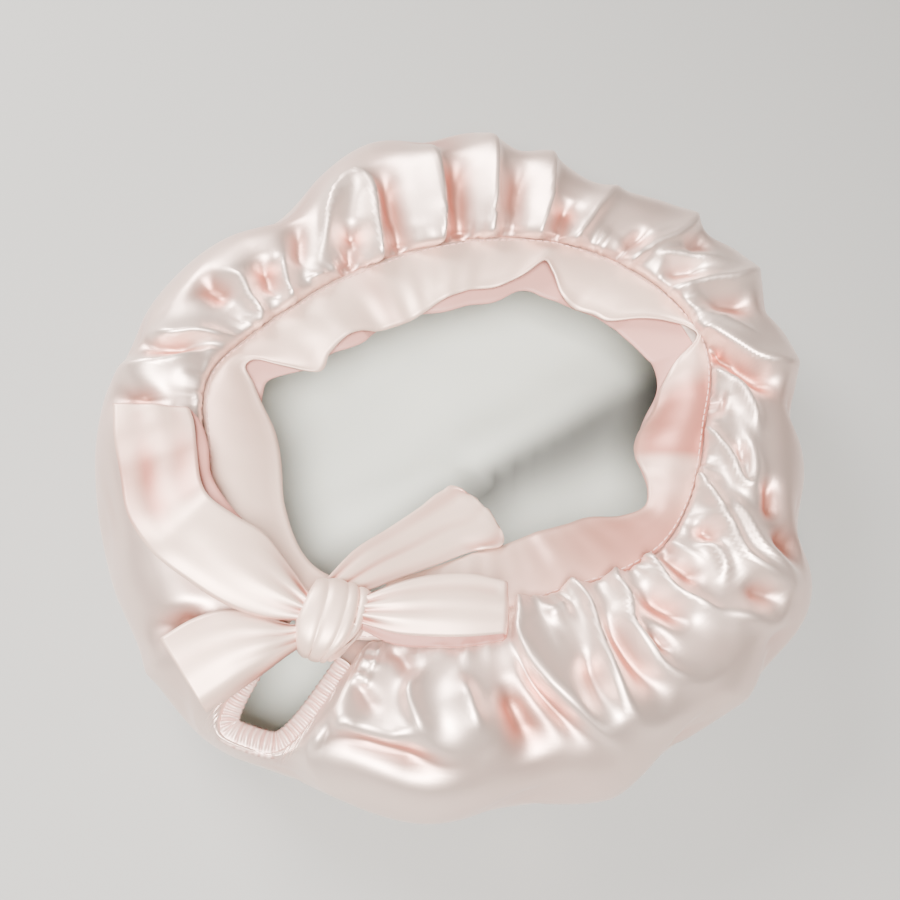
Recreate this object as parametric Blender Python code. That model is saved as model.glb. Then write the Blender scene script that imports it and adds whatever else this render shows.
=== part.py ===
"""Satin sleep bonnet lying crown down, its opening up and its ribbon tied in a bow at the nape.

The crown is one gathered bag of thin satin. A flat band is stitched to its gathered edge and
leans into the opening, and its two ends run into the bow. Behind the knot the edge is a short
ruched elastic, which leaves a keyhole gap.

Units are metres, with +Z up. The origin is the middle of the bonnet on the surface that it lies
on. Angles are degrees round the middle, anticlockwise seen from above, with 0 along +X.
"""
import math
from collections import namedtuple

import bpy
import numpy as np
from mathutils import Vector
from mathutils.bvhtree import BVHTree

# The crown, a gathered bag
CROWN_RADIUS = 0.130
WIDEST_HEIGHT = 0.024
UNDER_CURVE = 0.026
PUFF_RISE = 0.008
CLOTH_WALL = 0.0012
FOLD_DEPTH = 0.0055
GATHER_DEPTH = 0.0010
GATHER_COUNT = 33
SEAM_ALLOWANCE = 0.0040

# How folds run, as shares of the way down the side: where they begin and how softly they end
FOLD_START = 0.10
FOLD_END = 0.07
KEYHOLE_CALM = 0.7

# The opening and its band
OPENING_RADIUS = 0.082
SEAM_HEIGHT = 0.050
BAND_WIDTH = 0.025
BAND_WALL = 0.0016
BAND_WAVE = 0.0060

# The nape: keyhole gap and elastic
KEYHOLE_ANGLE = 236.0
KEYHOLE_LENGTH = 0.037
KEYHOLE_WIDTH = 0.016
KEYHOLE_SQUARENESS = 6
KEYHOLE_DROP = 0.008
ELASTIC_WIDTH = 0.0050
ELASTIC_WALL = 0.0020
RUCHE_DEPTH = 0.0006
RUCHE_COUNT = 16

# The bow. Each reach is from the knot's middle to the far end of a ribbon, in a straight line.
KNOT_INSET = 0.0044
KNOT_LENGTH = 0.027
KNOT_WIDTH = 0.021
KNOT_HEIGHT = 0.017
KNOT_SINK = 0.004
KNOT_TURN = 75.0
KNOT_SQUARENESS = 2.6
RIBBON_WIDTH = 0.025
RIBBON_WALL = 0.0010
LOOP_OPENING = 0.0045
LEFT_LOOP_REACH = 0.091
RIGHT_LOOP_REACH = 0.053
LEFT_TAIL_REACH = 0.048
RIGHT_TAIL_REACH = 0.063
TAIL_DROP = 0.010

# Space left between neighbouring pieces, under a ribbon that lies on folds, and beside the elastic
GAP = 0.0003
LYING_GAP = 0.0008
ELASTIC_SETBACK = 0.0012

# How closely curves are followed. Keyhole corners are shares of the half turn of its cut.
CORNERS_PER_GATHER = 4
KEYHOLE_CORNERS = (0.0, 0.35, 0.62, 0.77, 0.88, 0.98, 1.08, 1.22, 1.5)
ROWS_PER_ARC = (3, 4, 3)
FLOOR_ROWS = 1
BAND_STEPS = 76
BAND_COLUMNS = 4
CORNERS_PER_RUCHE = 4
RIBBON_STEPS = 16
RIBBON_COLUMNS = 4
PROBE_SHARE = 0.7
LOOP_END_STEPS = 4
KNOT_SEGMENTS = 20
KNOT_RINGS = 12
FINE_STEPS = 400
LEAST_SHARE = 0.1

# Shares of the way down the crown's side, from the stitched edge, at its top and widest line
TOP_WAY = 0.28
WIDEST_WAY = 0.68
PUFF_SHARE = 0.45

# The widest line of the crown. Reach is a share of CROWN_RADIUS.
Lobe = namedtuple("Lobe", "angle reach")
LOBES = (
    Lobe(0, 0.975), Lobe(18, 1.02), Lobe(35, 1.05), Lobe(50, 1.00), Lobe(62, 0.92),
    Lobe(75, 0.97), Lobe(92, 1.00), Lobe(106, 0.98), Lobe(118, 0.92), Lobe(128, 0.88),
    Lobe(142, 0.91), Lobe(165, 0.96), Lobe(185, 0.985), Lobe(210, 1.00), Lobe(230, 1.03),
    Lobe(246, 0.99), Lobe(262, 1.005), Lobe(278, 0.97), Lobe(290, 1.00), Lobe(303, 0.985),
    Lobe(318, 1.01), Lobe(333, 1.04), Lobe(347, 0.98),
)

# The stitched edge of the opening. Radius is a share of OPENING_RADIUS, height of SEAM_HEIGHT.
Edge = namedtuple("Edge", "angle radius height")
EDGES = (
    Edge(0, 1.01, 1.00), Edge(20, 1.13, 0.98), Edge(33, 1.11, 1.00), Edge(47, 1.045, 1.02),
    Edge(63, 0.965, 1.03), Edge(82, 0.88, 1.03), Edge(100, 0.83, 1.03), Edge(122, 0.825, 1.02),
    Edge(135, 0.86, 1.00), Edge(149, 0.915, 1.00), Edge(160, 1.00, 0.98), Edge(172, 1.10, 0.98),
    Edge(188, 1.10, 1.00), Edge(208, 1.13, 1.00), Edge(230, 1.14, 0.98), Edge(245, 1.03, 0.96),
    Edge(260, 0.915, 0.97), Edge(277, 0.83, 0.98), Edge(298, 0.82, 0.98), Edge(310, 0.875, 0.98),
    Edge(323, 0.935, 0.98), Edge(340, 0.965, 1.00),
)

# The free edge of the band. Inset is a share of BAND_WIDTH, wave of BAND_WAVE, up positive.
Wave = namedtuple("Wave", "angle inset wave")
WAVES = (
    Wave(0, 0.86, -0.6), Wave(10, 0.70, -0.9), Wave(24, 0.72, -0.6), Wave(37, 0.86, -0.8),
    Wave(50, 0.92, -0.5), Wave(65, 0.76, 0.5), Wave(80, 0.84, -0.5), Wave(96, 0.90, -0.7),
    Wave(112, 0.92, -0.4), Wave(124, 0.94, -0.6), Wave(136, 0.93, 0.0), Wave(150, 0.90, -0.6),
    Wave(160, 0.92, -0.9), Wave(172, 0.80, -0.4), Wave(187, 0.92, -0.8), Wave(205, 0.88, -0.6),
    Wave(222, 0.76, -0.4), Wave(250, 0.86, -0.3), Wave(266, 0.95, -0.7), Wave(284, 0.90, -0.9),
    Wave(303, 0.92, -0.5), Wave(322, 0.88, -1.0), Wave(335, 0.72, -0.4), Wave(348, 0.82, -0.9),
)

# Folds of the crown, which start at the stitched edge. Spread is the half width in degrees,
# drift the turn at the far end, rise a share of FOLD_DEPTH, up positive, and reach the share of
# the way down the side that the fold runs.
Fold = namedtuple("Fold", "angle spread drift rise reach")
FOLDS = (
    Fold(3, 6.0, -8, -0.9, 0.55), Fold(14, 5.0, 2, 0.8, 0.60), Fold(22, 4.0, -5, -0.9, 0.58),
    Fold(34, 4.5, -1, -0.9, 0.60), Fold(40, 3.5, -3, 0.6, 0.55), Fold(46, 4.0, 0, -0.9, 0.62),
    Fold(54, 4.5, 1, 0.6, 0.60), Fold(61, 4.0, -1, -1.0, 0.70), Fold(71, 3.5, 3, 0.8, 0.60),
    Fold(77, 4.5, 2, -0.8, 0.52), Fold(85, 3.5, 0, 0.7, 0.60), Fold(93, 4.5, 0, -0.7, 0.50),
    Fold(101, 3.5, -3, 0.8, 0.55), Fold(110, 5.0, -3, -0.9, 0.48), Fold(119, 3.5, -5, 0.9, 0.52),
    Fold(128, 5.0, -4, -1.0, 0.62), Fold(135, 3.5, -5, 0.6, 0.45), Fold(142, 4.5, -5, -0.8, 0.50),
    Fold(149, 3.5, -5, 0.5, 0.55), Fold(157, 5.0, -5, -0.9, 0.50), Fold(165, 4.0, -4, 0.6, 0.50),
    Fold(173, 4.5, -2, -0.8, 0.55), Fold(192, 7.0, 2, 0.4, 0.55), Fold(208, 6.0, 4, -0.5, 0.50),
    Fold(222, 5.0, 3, 0.5, 0.50), Fold(248, 4.0, 4, -0.8, 0.55), Fold(255, 4.5, 6, 0.7, 0.60),
    Fold(263, 4.0, 8, -0.9, 0.62), Fold(270, 4.0, 8, 0.6, 0.60), Fold(277, 4.5, 8, -1.0, 0.75),
    Fold(286, 5.0, 7, 0.8, 0.62), Fold(293, 3.5, 5, -0.7, 0.55), Fold(300, 4.5, 3, 0.9, 0.60),
    Fold(308, 4.5, 3, -0.9, 0.62), Fold(316, 4.0, 4, 0.7, 0.60), Fold(323, 4.0, 4, -1.0, 0.62),
    Fold(331, 4.5, 3, 0.8, 0.62), Fold(339, 4.0, 0, -0.8, 0.58), Fold(346, 5.0, -6, 0.9, 0.62),
    Fold(355, 5.0, -2, 0.5, 0.50),
)

# The elastic's section, from its free edge to the crown. Inset is a share of ELASTIC_WIDTH, and
# swell says how much of the ruching shows there.
Puff = namedtuple("Puff", "inset swell")
ELASTIC_PUFFS = (Puff(1.0, 0.0), Puff(0.75, 1.0), Puff(0.35, 1.0), Puff(0.0, 0.0))

# The bow's ribbons. Rise is the height at which one leaves the knot, from the knot's middle, as a
# share of KNOT_HEIGHT, and gathered its width there, as a share of RIBBON_WIDTH. The turns of its
# middle line run out from the knot: across and along are shares of its reach, towards +X and +Y,
# and width is a share of RIBBON_WIDTH.
Ribbon = namedtuple("Ribbon", "reach rise gathered turns")
Turn = namedtuple("Turn", "across along width")
LEFT_LOOP = Ribbon(LEFT_LOOP_REACH, 0.12, 0.46, (
    Turn(-0.31, 0.16, 0.86), Turn(-0.50, 0.30, 1.00), Turn(-0.61, 0.49, 1.00),
    Turn(-0.65, 0.64, 1.00), Turn(-0.655, 0.76, 0.96),
))
RIGHT_LOOP = Ribbon(RIGHT_LOOP_REACH, 0.10, 0.46, (
    Turn(0.47, 0.085, 0.80), Turn(0.74, 0.07, 0.84), Turn(1.00, 0.05, 0.66),
))
LEFT_TAIL = Ribbon(LEFT_TAIL_REACH, -0.22, 0.40, (
    Turn(-0.43, -0.11, 0.78), Turn(-0.68, -0.23, 0.98), Turn(-0.935, -0.34, 1.00),
))
RIGHT_TAIL = Ribbon(RIGHT_TAIL_REACH, -0.30, 0.40, (
    Turn(0.27, 0.26, 0.80), Turn(0.52, 0.43, 1.00), Turn(0.785, 0.62, 0.92),
))

# Base colour, roughness and metallic value of each finish
Finish = namedtuple("Finish", "colour roughness metallic")
BLUSH_SATIN = Finish((0.86, 0.70, 0.68, 1.0), 0.32, 0.0)
PINK_RIBBON = Finish((0.88, 0.64, 0.60, 1.0), 0.36, 0.0)
RUCHED_SATIN = Finish((0.80, 0.60, 0.58, 1.0), 0.45, 0.0)


def clear_scene():
    """Remove whatever the scene holds."""
    for thing in list(bpy.data.objects):
        bpy.data.objects.remove(thing, do_unlink=True)


def smooth_through(marks, values, places):
    """Values on a smooth curve through the given ones, read at some places along it."""
    slopes = np.gradient(values, marks)
    at = np.clip(np.searchsorted(marks, places, side="right") - 1, 0, len(marks) - 2)
    step = marks[at + 1] - marks[at]
    share = (places - marks[at]) / step
    square = share * share
    cube = square * share
    start = (2 * cube - 3 * square + 1) * values[at] + (cube - 2 * square + share) * step * slopes[at]
    end = (3 * square - 2 * cube) * values[at + 1] + (cube - square) * step * slopes[at + 1]
    return start + end


def ring_value(angles, rows, field):
    """Read one column of a table all the way round, on a smooth closed curve."""
    marks = np.array([row.angle for row in rows], float)
    values = np.array([getattr(row, field) for row in rows], float)
    marks = np.concatenate((marks[-2:] - 360.0, marks, marks[:2] + 360.0))
    values = np.concatenate((values[-2:], values, values[:2]))
    return smooth_through(marks, values, np.mod(np.asarray(angles, float), 360.0))


def turned_by(angles, angle):
    """Signed difference from one angle, between -180 and 180 degrees."""
    return np.mod(np.asarray(angles, float) - angle + 180.0, 360.0) - 180.0


def plan_point(radius, angles):
    """X and Y at a radius and an angle."""
    turn = np.radians(angles)
    return np.stack((radius * np.cos(turn), radius * np.sin(turn)), axis=-1)


def band_radius(angles):
    """Radius of the line on which the band is stitched."""
    return OPENING_RADIUS * ring_value(angles, EDGES, "radius")


def knot_radius():
    """Radius at which the knot sits, just inside the stitched edge."""
    return float(band_radius(KEYHOLE_ANGLE)) - KNOT_INSET


def keyhole_half_turn():
    """Half the turn of the crown's cut for the keyhole, which holds the gap and the elastic."""
    half_width = KEYHOLE_WIDTH / 2 + ELASTIC_WIDTH
    return math.degrees(half_width / (knot_radius() + KEYHOLE_LENGTH / 2))


def keyhole_share(angles):
    """1 in the crown's cut for the keyhole, falling smoothly to 0 past its sides."""
    aside = turned_by(angles, KEYHOLE_ANGLE) / keyhole_half_turn()
    return np.exp(-(aside**KEYHOLE_SQUARENESS))


def edge_radius(angles):
    """Radius of the crown's gathered edge, which runs out round the keyhole."""
    return band_radius(angles) + KEYHOLE_LENGTH * keyhole_share(angles)


def edge_height(angles):
    """Height of the crown's gathered edge, which dips at the keyhole."""
    return SEAM_HEIGHT * ring_value(angles, EDGES, "height") - KEYHOLE_DROP * keyhole_share(angles)


def edge_inward(angles):
    """Plan direction square to the gathered edge, into the opening."""
    nudge = 0.25
    ahead = plan_point(edge_radius(angles + nudge), angles + nudge)
    behind = plan_point(edge_radius(angles - nudge), angles - nudge)
    along = (ahead - behind) / np.linalg.norm(ahead - behind, axis=-1, keepdims=True)
    return np.stack((-along[:, 1], along[:, 0]), axis=-1)


def side_arcs(way, angles):
    """The crown's smooth side: radius, height and outward direction at a share of the way down."""
    edge = edge_radius(angles)
    rim = edge_height(angles)
    reach = CROWN_RADIUS * ring_value(angles, LOBES, "reach")
    floor = reach - UNDER_CURVE
    top = edge + PUFF_SHARE * (reach - edge)
    peak = rim + PUFF_RISE * (reach - edge) / (CROWN_RADIUS - OPENING_RADIUS)
    if way < TOP_WAY:
        turn = way / TOP_WAY * math.pi / 2
        radius = top + (edge - top) * math.cos(turn)
        height = rim + (peak - rim) * math.sin(turn)
        return radius, height, -math.cos(turn), math.sin(turn)
    if way < WIDEST_WAY:
        turn = (way - TOP_WAY) / (WIDEST_WAY - TOP_WAY) * math.pi / 2
        radius = top + (reach - top) * math.sin(turn)
        height = WIDEST_HEIGHT + (peak - WIDEST_HEIGHT) * math.cos(turn)
        return radius, height, math.sin(turn), math.cos(turn)
    turn = (way - WIDEST_WAY) / (1.0 - WIDEST_WAY) * math.pi / 2
    radius = floor + (reach - floor) * math.cos(turn)
    height = WIDEST_HEIGHT * (1.0 - math.sin(turn)) * np.ones_like(radius)
    return radius, height, math.cos(turn), -math.sin(turn)


def fold_height(way, angles):
    """How far the folds and gathers push the cloth out at a share of the way down the side."""
    height = np.zeros_like(angles)
    for fold in FOLDS:
        aside = turned_by(angles, fold.angle + fold.drift * way)
        fade = 1.0 / (1.0 + math.exp((way - fold.reach) / FOLD_END))
        height += fold.rise * FOLD_DEPTH * fade * np.exp(-(aside / fold.spread) ** 2)
    gathers = np.cos(np.radians(angles) * GATHER_COUNT) * math.exp(-(way / TOP_WAY) ** 2)
    start = 1.0 - math.exp(-(way / FOLD_START) ** 2)
    calm = 1.0 - KEYHOLE_CALM * keyhole_share(angles)
    return start * calm * (height + GATHER_DEPTH * gathers)


def side_ways():
    """Shares of the way down the side at which the crown has a row of corners."""
    ends = (0.0, TOP_WAY, WIDEST_WAY, 1.0)
    ways = [0.0]
    for first, last, count in zip(ends, ends[1:], ROWS_PER_ARC):
        ways.extend(np.linspace(first, last, count + 1)[1:])
    return ways


def crown_rows(angles):
    """Rows of the crown's outer skin, from under the band, over the puff and in to the middle."""
    edge = plan_point(edge_radius(angles), angles)
    turned_in = edge + SEAM_ALLOWANCE * edge_inward(angles)
    rows = [np.column_stack((turned_in, edge_height(angles) - 2 * GAP))]
    for way in side_ways():
        radius, height, out, up = side_arcs(way, angles)
        push = fold_height(way, angles) * np.clip(height / WIDEST_HEIGHT, 0.0, 1.0)
        rows.append(np.column_stack((plan_point(radius + push * out, angles), height + push * up)))
    floor = CROWN_RADIUS * ring_value(angles, LOBES, "reach") - UNDER_CURVE
    for step in range(FLOOR_ROWS, 0, -1):
        inner = plan_point(floor * step / (FLOOR_ROWS + 1), angles)
        rows.append(np.column_stack((inner, np.zeros_like(angles))))
    return rows


def cloth(name, net, wall, finish, closed=False, filled=False):
    """One cloth piece: a net of points along and across, given its wall on the inner side."""
    along, across = net.shape[:2]
    points = [tuple(point) for row in net for point in row]
    faces = []
    for row in range(along if closed else along - 1):
        this = row * across
        that = (row + 1) % along * across
        for column in range(across - 1):
            faces.append((this + column, this + column + 1, that + column + 1, that + column))
    if filled:
        middle = len(points)
        points.append(tuple(net[:, -1].mean(axis=0)))
        for row in range(along):
            faces.append((row * across + across - 1, middle, (row + 1) % along * across + across - 1))
    mesh = bpy.data.meshes.new(name)
    mesh.from_pydata(points, [], faces)
    mesh.shade_smooth()
    piece = bpy.data.objects.new(name, mesh)
    bpy.context.collection.objects.link(piece)
    thicken = piece.modifiers.new("Cloth wall", "SOLIDIFY")
    thicken.thickness = wall
    thicken.offset = -1.0
    dress(piece, finish)
    return piece


def dress(piece, finish):
    """Give a piece a material of its own."""
    material = bpy.data.materials.new(piece.name + "_finish")
    material.use_nodes = True
    shader = material.node_tree.nodes["Principled BSDF"]
    shader.inputs["Base Color"].default_value = finish.colour
    shader.inputs["Roughness"].default_value = finish.roughness
    shader.inputs["Metallic"].default_value = finish.metallic
    piece.data.materials.append(material)


def net_tree(nets):
    """The faces of some nets, to be touched by a straight line."""
    points = []
    faces = []
    for net in nets:
        along, across = net.shape[:2]
        first = len(points)
        points.extend(Vector(point) for row in net for point in row)
        for row in range(along - 1):
            for column in range(across - 1):
                corner = first + row * across + column
                faces.append((corner, corner + 1, corner + across + 1, corner + across))
    return BVHTree.FromPolygons(points, faces)


def touch_heights(net, tree, upwards):
    """Lowest or highest height of the tree round each plan point, or None where it has nothing."""
    near = PROBE_SHARE * RIBBON_WIDTH / RIBBON_COLUMNS
    probes = [(near * aside, near * ahead) for aside in (-1, 0, 1) for ahead in (-1, 0, 1)]
    start = 0.0 if upwards else 1.0
    way = Vector((0.0, 0.0, 1.0 if upwards else -1.0))
    heights = np.full(net.shape[:2], np.inf if upwards else -np.inf)
    for row in range(net.shape[0]):
        for column in range(net.shape[1]):
            for aside, ahead in probes:
                x, y = net[row, column]
                hit = tree.ray_cast(Vector((x + aside, y + ahead, start)), way)[0]
                if hit is not None:
                    pick = min if upwards else max
                    heights[row, column] = pick(heights[row, column], hit.z)
    return heights


def crown_angles():
    """Angles of the crown's corners: even, but closer along the keyhole's steep sides."""
    count = GATHER_COUNT * CORNERS_PER_GATHER
    even = np.arange(count) * 360.0 / count
    marks = keyhole_half_turn() * np.array(KEYHOLE_CORNERS)
    beside = KEYHOLE_ANGLE + np.concatenate((-marks[:0:-1], marks))
    apart = np.abs(turned_by(even, KEYHOLE_ANGLE)) > marks[-1] + 180.0 / count
    return np.sort(np.mod(np.concatenate((even[apart], beside)), 360.0))


def crown_net():
    """The crown's outer skin."""
    return np.stack(crown_rows(crown_angles()), axis=1)


def knot_reach(heading, height):
    """How far the knot's side lies from its middle in a plan direction, at a height from it."""
    turn = math.atan2(heading[1], heading[0]) - math.radians(KNOT_TURN)
    power = KNOT_SQUARENESS / (KNOT_SQUARENESS - 1.0)
    lengthways = abs(KNOT_LENGTH / 2 * math.cos(turn)) ** power
    sideways = abs(KNOT_WIDTH / 2 * math.sin(turn)) ** power
    shrink = (1.0 - abs(2.0 * height) ** KNOT_SQUARENESS) ** (1.0 / KNOT_SQUARENESS)
    return shrink * (lengthways + sideways) ** (1.0 / power)


def knot_middle():
    """Middle of the knot, between the ends of the band."""
    middle = plan_point(knot_radius(), KEYHOLE_ANGLE)
    return np.array((middle[0], middle[1], SEAM_HEIGHT - KNOT_SINK + KNOT_HEIGHT / 2))


def band_net():
    """Top face of the band, from one side of the knot round the opening to the other."""
    beside = knot_reach(plan_point(1.0, KEYHOLE_ANGLE + 90.0), 0.0) + GAP
    clear = math.degrees(math.asin(beside / knot_radius()))
    angles = np.linspace(KEYHOLE_ANGLE + clear, KEYHOLE_ANGLE + 360.0 - clear, BAND_STEPS + 1)
    seam = band_radius(angles) - 2 * GAP
    rim = SEAM_HEIGHT * ring_value(angles, EDGES, "height") + GAP + BAND_WALL
    inset = BAND_WIDTH * ring_value(angles, WAVES, "inset")
    wave = BAND_WAVE * ring_value(angles, WAVES, "wave")
    rows = []
    for column in range(BAND_COLUMNS, -1, -1):
        share = column / BAND_COLUMNS
        past_seam = np.clip((share * inset - SEAM_ALLOWANCE) / (inset - SEAM_ALLOWANCE), 0.0, 1.0)
        rows.append(np.column_stack((plan_point(seam - share * inset, angles), rim + wave * past_seam)))
    return np.stack(rows, axis=1)


def elastic_net():
    """Top face of the ruched elastic round the keyhole, from one side of the knot to the other."""
    past_knot = knot_reach(plan_point(1.0, KEYHOLE_ANGLE), 0.0) - KNOT_INSET + ELASTIC_WALL
    share = min(max(past_knot / KEYHOLE_LENGTH, LEAST_SHARE), 1.0 - LEAST_SHARE)
    reach = keyhole_half_turn() * (-math.log(share)) ** (1 / KEYHOLE_SQUARENESS)
    fine = np.linspace(KEYHOLE_ANGLE - reach, KEYHOLE_ANGLE + reach, FINE_STEPS)
    points = plan_point(edge_radius(fine), fine)
    lengths = np.concatenate(((0.0,), np.cumsum(np.linalg.norm(np.diff(points, axis=0), axis=1))))
    steps = RUCHE_COUNT * CORNERS_PER_RUCHE
    angles = np.interp(np.linspace(0.0, lengths[-1], steps + 1), lengths, fine)
    edge = plan_point(edge_radius(angles), angles)
    inward = edge_inward(angles)
    ruche = RUCHE_DEPTH * (1.0 - np.cos(np.arange(steps + 1) * 2 * math.pi / CORNERS_PER_RUCHE))
    rows = []
    for puff in ELASTIC_PUFFS:
        width = ELASTIC_SETBACK + puff.inset * (ELASTIC_WIDTH - ruche * puff.inset)
        plan = edge + inward * width[:, None]
        height = edge_height(angles) + 2 * GAP + ELASTIC_WALL + puff.swell * ruche
        rows.append(np.column_stack((plan, height)))
    return np.stack(rows, axis=1)


def ribbon_plan(ribbon):
    """Plan points of a flat ribbon that leaves the knot, from its left edge to its right."""
    points = ribbon.reach * np.array([(turn.across, turn.along) for turn in ribbon.turns])
    heading = points[0] / np.linalg.norm(points[0])
    points = np.vstack((heading * (knot_reach(heading, ribbon.rise) + 2 * GAP), points))
    widths = RIBBON_WIDTH * np.array([ribbon.gathered] + [turn.width for turn in ribbon.turns])
    marks = np.concatenate(((0.0,), np.cumsum(np.linalg.norm(np.diff(points, axis=0), axis=1))))
    places = np.linspace(0.0, marks[-1], RIBBON_STEPS + 1)
    line = np.column_stack([smooth_through(marks, points[:, axis], places) for axis in (0, 1)])
    width = smooth_through(marks, widths, places)
    along = np.gradient(line, axis=0)
    along /= np.linalg.norm(along, axis=1, keepdims=True)
    right = np.column_stack((along[:, 1], -along[:, 0]))
    shares = np.linspace(-0.5, 0.5, RIBBON_COLUMNS + 1)
    offsets = width[:, None, None] * shares[None, :, None] * right[:, None, :]
    return knot_middle()[:2] + line[:, None, :] + offsets


def root_height(ribbon):
    """Height at which a ribbon leaves the knot."""
    return knot_middle()[2] + ribbon.rise * KNOT_HEIGHT


def laid_heights(plan, tree, ribbon):
    """Heights of a ribbon's under face, lying on the tree and drawn up to the knot."""
    lying = touch_heights(plan, tree, upwards=False) + LYING_GAP
    share = np.linspace(0.0, 1.0, plan.shape[0])[:, None]
    taut = (root_height(ribbon) - RIBBON_WALL) * (1.0 - share) + lying[-1].max() * share
    return np.maximum(lying, taut)


def laid_tail(tree):
    """The left tail, which lies on the crown past the keyhole."""
    plan = ribbon_plan(LEFT_TAIL)
    heights = laid_heights(plan, tree, LEFT_TAIL) + RIBBON_WALL
    return np.concatenate((plan, heights[..., None]), axis=2)


def hung_tail(tree):
    """The right tail, which hangs into the opening and passes under the band."""
    plan = ribbon_plan(RIGHT_TAIL)
    share = np.linspace(0.0, 1.0, plan.shape[0])[:, None]
    falling = root_height(RIGHT_TAIL) - TAIL_DROP * (1.0 - (1.0 - share) ** 2)
    under_band = touch_heights(plan, tree, upwards=True) - BAND_WALL - 2 * GAP
    heights = np.minimum(falling, under_band)
    return np.concatenate((plan, heights[..., None]), axis=2)


def loop_net(ribbon, tree):
    """Outer face of a bow loop: out along its under layer, round the fold and back on top."""
    plan = ribbon_plan(ribbon)
    low = laid_heights(plan, tree, ribbon)
    share = np.linspace(0.0, 1.0, plan.shape[0])[:, None]
    depth = 2 * RIBBON_WALL + GAP + LOOP_OPENING * np.sqrt(share)
    under = np.concatenate((plan, low[..., None]), axis=2)
    over = np.concatenate((plan, (low + depth)[..., None]), axis=2)
    outward = under[-1] - under[-2]
    outward[:, 2] = 0.0
    outward /= np.linalg.norm(outward, axis=1, keepdims=True)
    radius = depth[-1, 0] / 2
    end = []
    for step in range(1, LOOP_END_STEPS):
        turn = step * math.pi / LOOP_END_STEPS
        rise = np.array((0.0, 0.0, radius * (1.0 - math.cos(turn))))
        end.append(under[-1] + outward * radius * math.sin(turn) + rise)
    net = np.concatenate((under, np.array(end), over[::-1]))
    return net[:, ::-1]


def make_knot():
    """The knot, a squarish pillow."""
    bpy.ops.mesh.primitive_uv_sphere_add(segments=KNOT_SEGMENTS, ring_count=KNOT_RINGS, radius=1.0)
    knot = bpy.context.object
    knot.name = "bow_knot"
    knot.data.name = "bow_knot"
    half = (KNOT_LENGTH / 2, KNOT_WIDTH / 2, KNOT_HEIGHT / 2)
    for vertex in knot.data.vertices:
        spread = sum(abs(value) ** KNOT_SQUARENESS for value in vertex.co)
        shrink = spread ** (-1.0 / KNOT_SQUARENESS)
        vertex.co = Vector([value * shrink * size for value, size in zip(vertex.co, half)])
    knot.location = knot_middle()
    knot.rotation_euler.z = math.radians(KNOT_TURN)
    knot.data.shade_smooth()
    dress(knot, PINK_RIBBON)
    return knot


def build():
    """Model every piece of the bonnet."""
    clear_scene()
    crown = crown_net()
    band = band_net()
    elastic = elastic_net()
    cloth("crown", crown, CLOTH_WALL, BLUSH_SATIN, closed=True, filled=True)
    cloth("band", band, BAND_WALL, PINK_RIBBON)
    cloth("nape_elastic", elastic, ELASTIC_WALL, RUCHED_SATIN)
    make_knot()
    around = np.concatenate((crown, crown[:1]))
    left_tail = laid_tail(net_tree((around, band, elastic)))
    right_tail = hung_tail(net_tree((band,)))
    under_loops = net_tree((around, band, elastic, left_tail, right_tail))
    left_loop = loop_net(LEFT_LOOP, under_loops)
    right_loop = loop_net(RIGHT_LOOP, under_loops)
    cloth("bow_tail_left", left_tail, RIBBON_WALL, PINK_RIBBON)
    cloth("bow_tail_right", right_tail, RIBBON_WALL, PINK_RIBBON)
    cloth("bow_loop_left", left_loop, RIBBON_WALL, PINK_RIBBON)
    cloth("bow_loop_right", right_loop, RIBBON_WALL, PINK_RIBBON)


build()
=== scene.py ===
"""Dresses the sleep bonnet: gathered satin crown, ribbon band, ruched nape and tied bow.

The bonnet lies crown down on a pale floor, seen from the photograph's angle. Lengths are metres,
and a name or a table that ends in _mm holds millimetres. Angles are degrees round the middle of
the bonnet, anticlockwise seen from above, with 0 along +X.
"""
from __future__ import annotations

import logging
import math
from dataclasses import dataclass
from enum import Enum
from typing import NamedTuple

import bpy
import numpy as np
from mathutils import Matrix, Vector
from mathutils.bvhtree import BVHTree

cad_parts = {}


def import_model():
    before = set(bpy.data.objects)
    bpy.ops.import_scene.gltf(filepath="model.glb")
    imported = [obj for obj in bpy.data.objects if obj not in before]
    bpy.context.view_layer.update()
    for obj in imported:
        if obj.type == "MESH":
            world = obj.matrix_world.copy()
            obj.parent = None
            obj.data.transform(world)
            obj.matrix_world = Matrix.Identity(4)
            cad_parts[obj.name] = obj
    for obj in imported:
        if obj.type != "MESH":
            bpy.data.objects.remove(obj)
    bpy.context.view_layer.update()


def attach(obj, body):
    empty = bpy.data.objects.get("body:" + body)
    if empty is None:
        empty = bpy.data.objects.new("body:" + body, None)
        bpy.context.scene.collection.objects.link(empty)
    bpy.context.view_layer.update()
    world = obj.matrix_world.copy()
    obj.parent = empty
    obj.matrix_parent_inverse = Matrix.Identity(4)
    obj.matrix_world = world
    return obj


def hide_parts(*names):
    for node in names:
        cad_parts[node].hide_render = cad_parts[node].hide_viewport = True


MM = 0.001
# Upper end of a random phase, nearly a full turn
PHASE = 6.28
log = logging.getLogger("bonnet")


class Slot(Enum):
    """Material slots of the record."""

    SATIN = "blush_satin"
    RIBBON = "pink_ribbon"
    RUCHED = "ruched_satin"


class Lobe(NamedTuple):
    """One place on the crown's widest line; reach is a share of the crown's radius."""

    angle: float
    reach: float


class Edge(NamedTuple):
    """One place on the stitched edge; shares of the opening's radius and of the seam's height."""

    angle: float
    radius: float
    height: float


class Hem(NamedTuple):
    """One place on the band's free edges.

    Turn is how far the free edge is pulled round from its seam, in degrees. Inset and back are
    how far the top and the under layer reach in, as shares of the band's width. Rise is the height
    of the top layer's free edge over the seam, in millimetres.
    """

    angle: float
    turn: float
    inset: float
    rise_mm: float
    back: float


class Shade(NamedTuple):
    """One place on the band; share is how much painted shade the band gets there."""

    angle: float
    share: float


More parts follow.
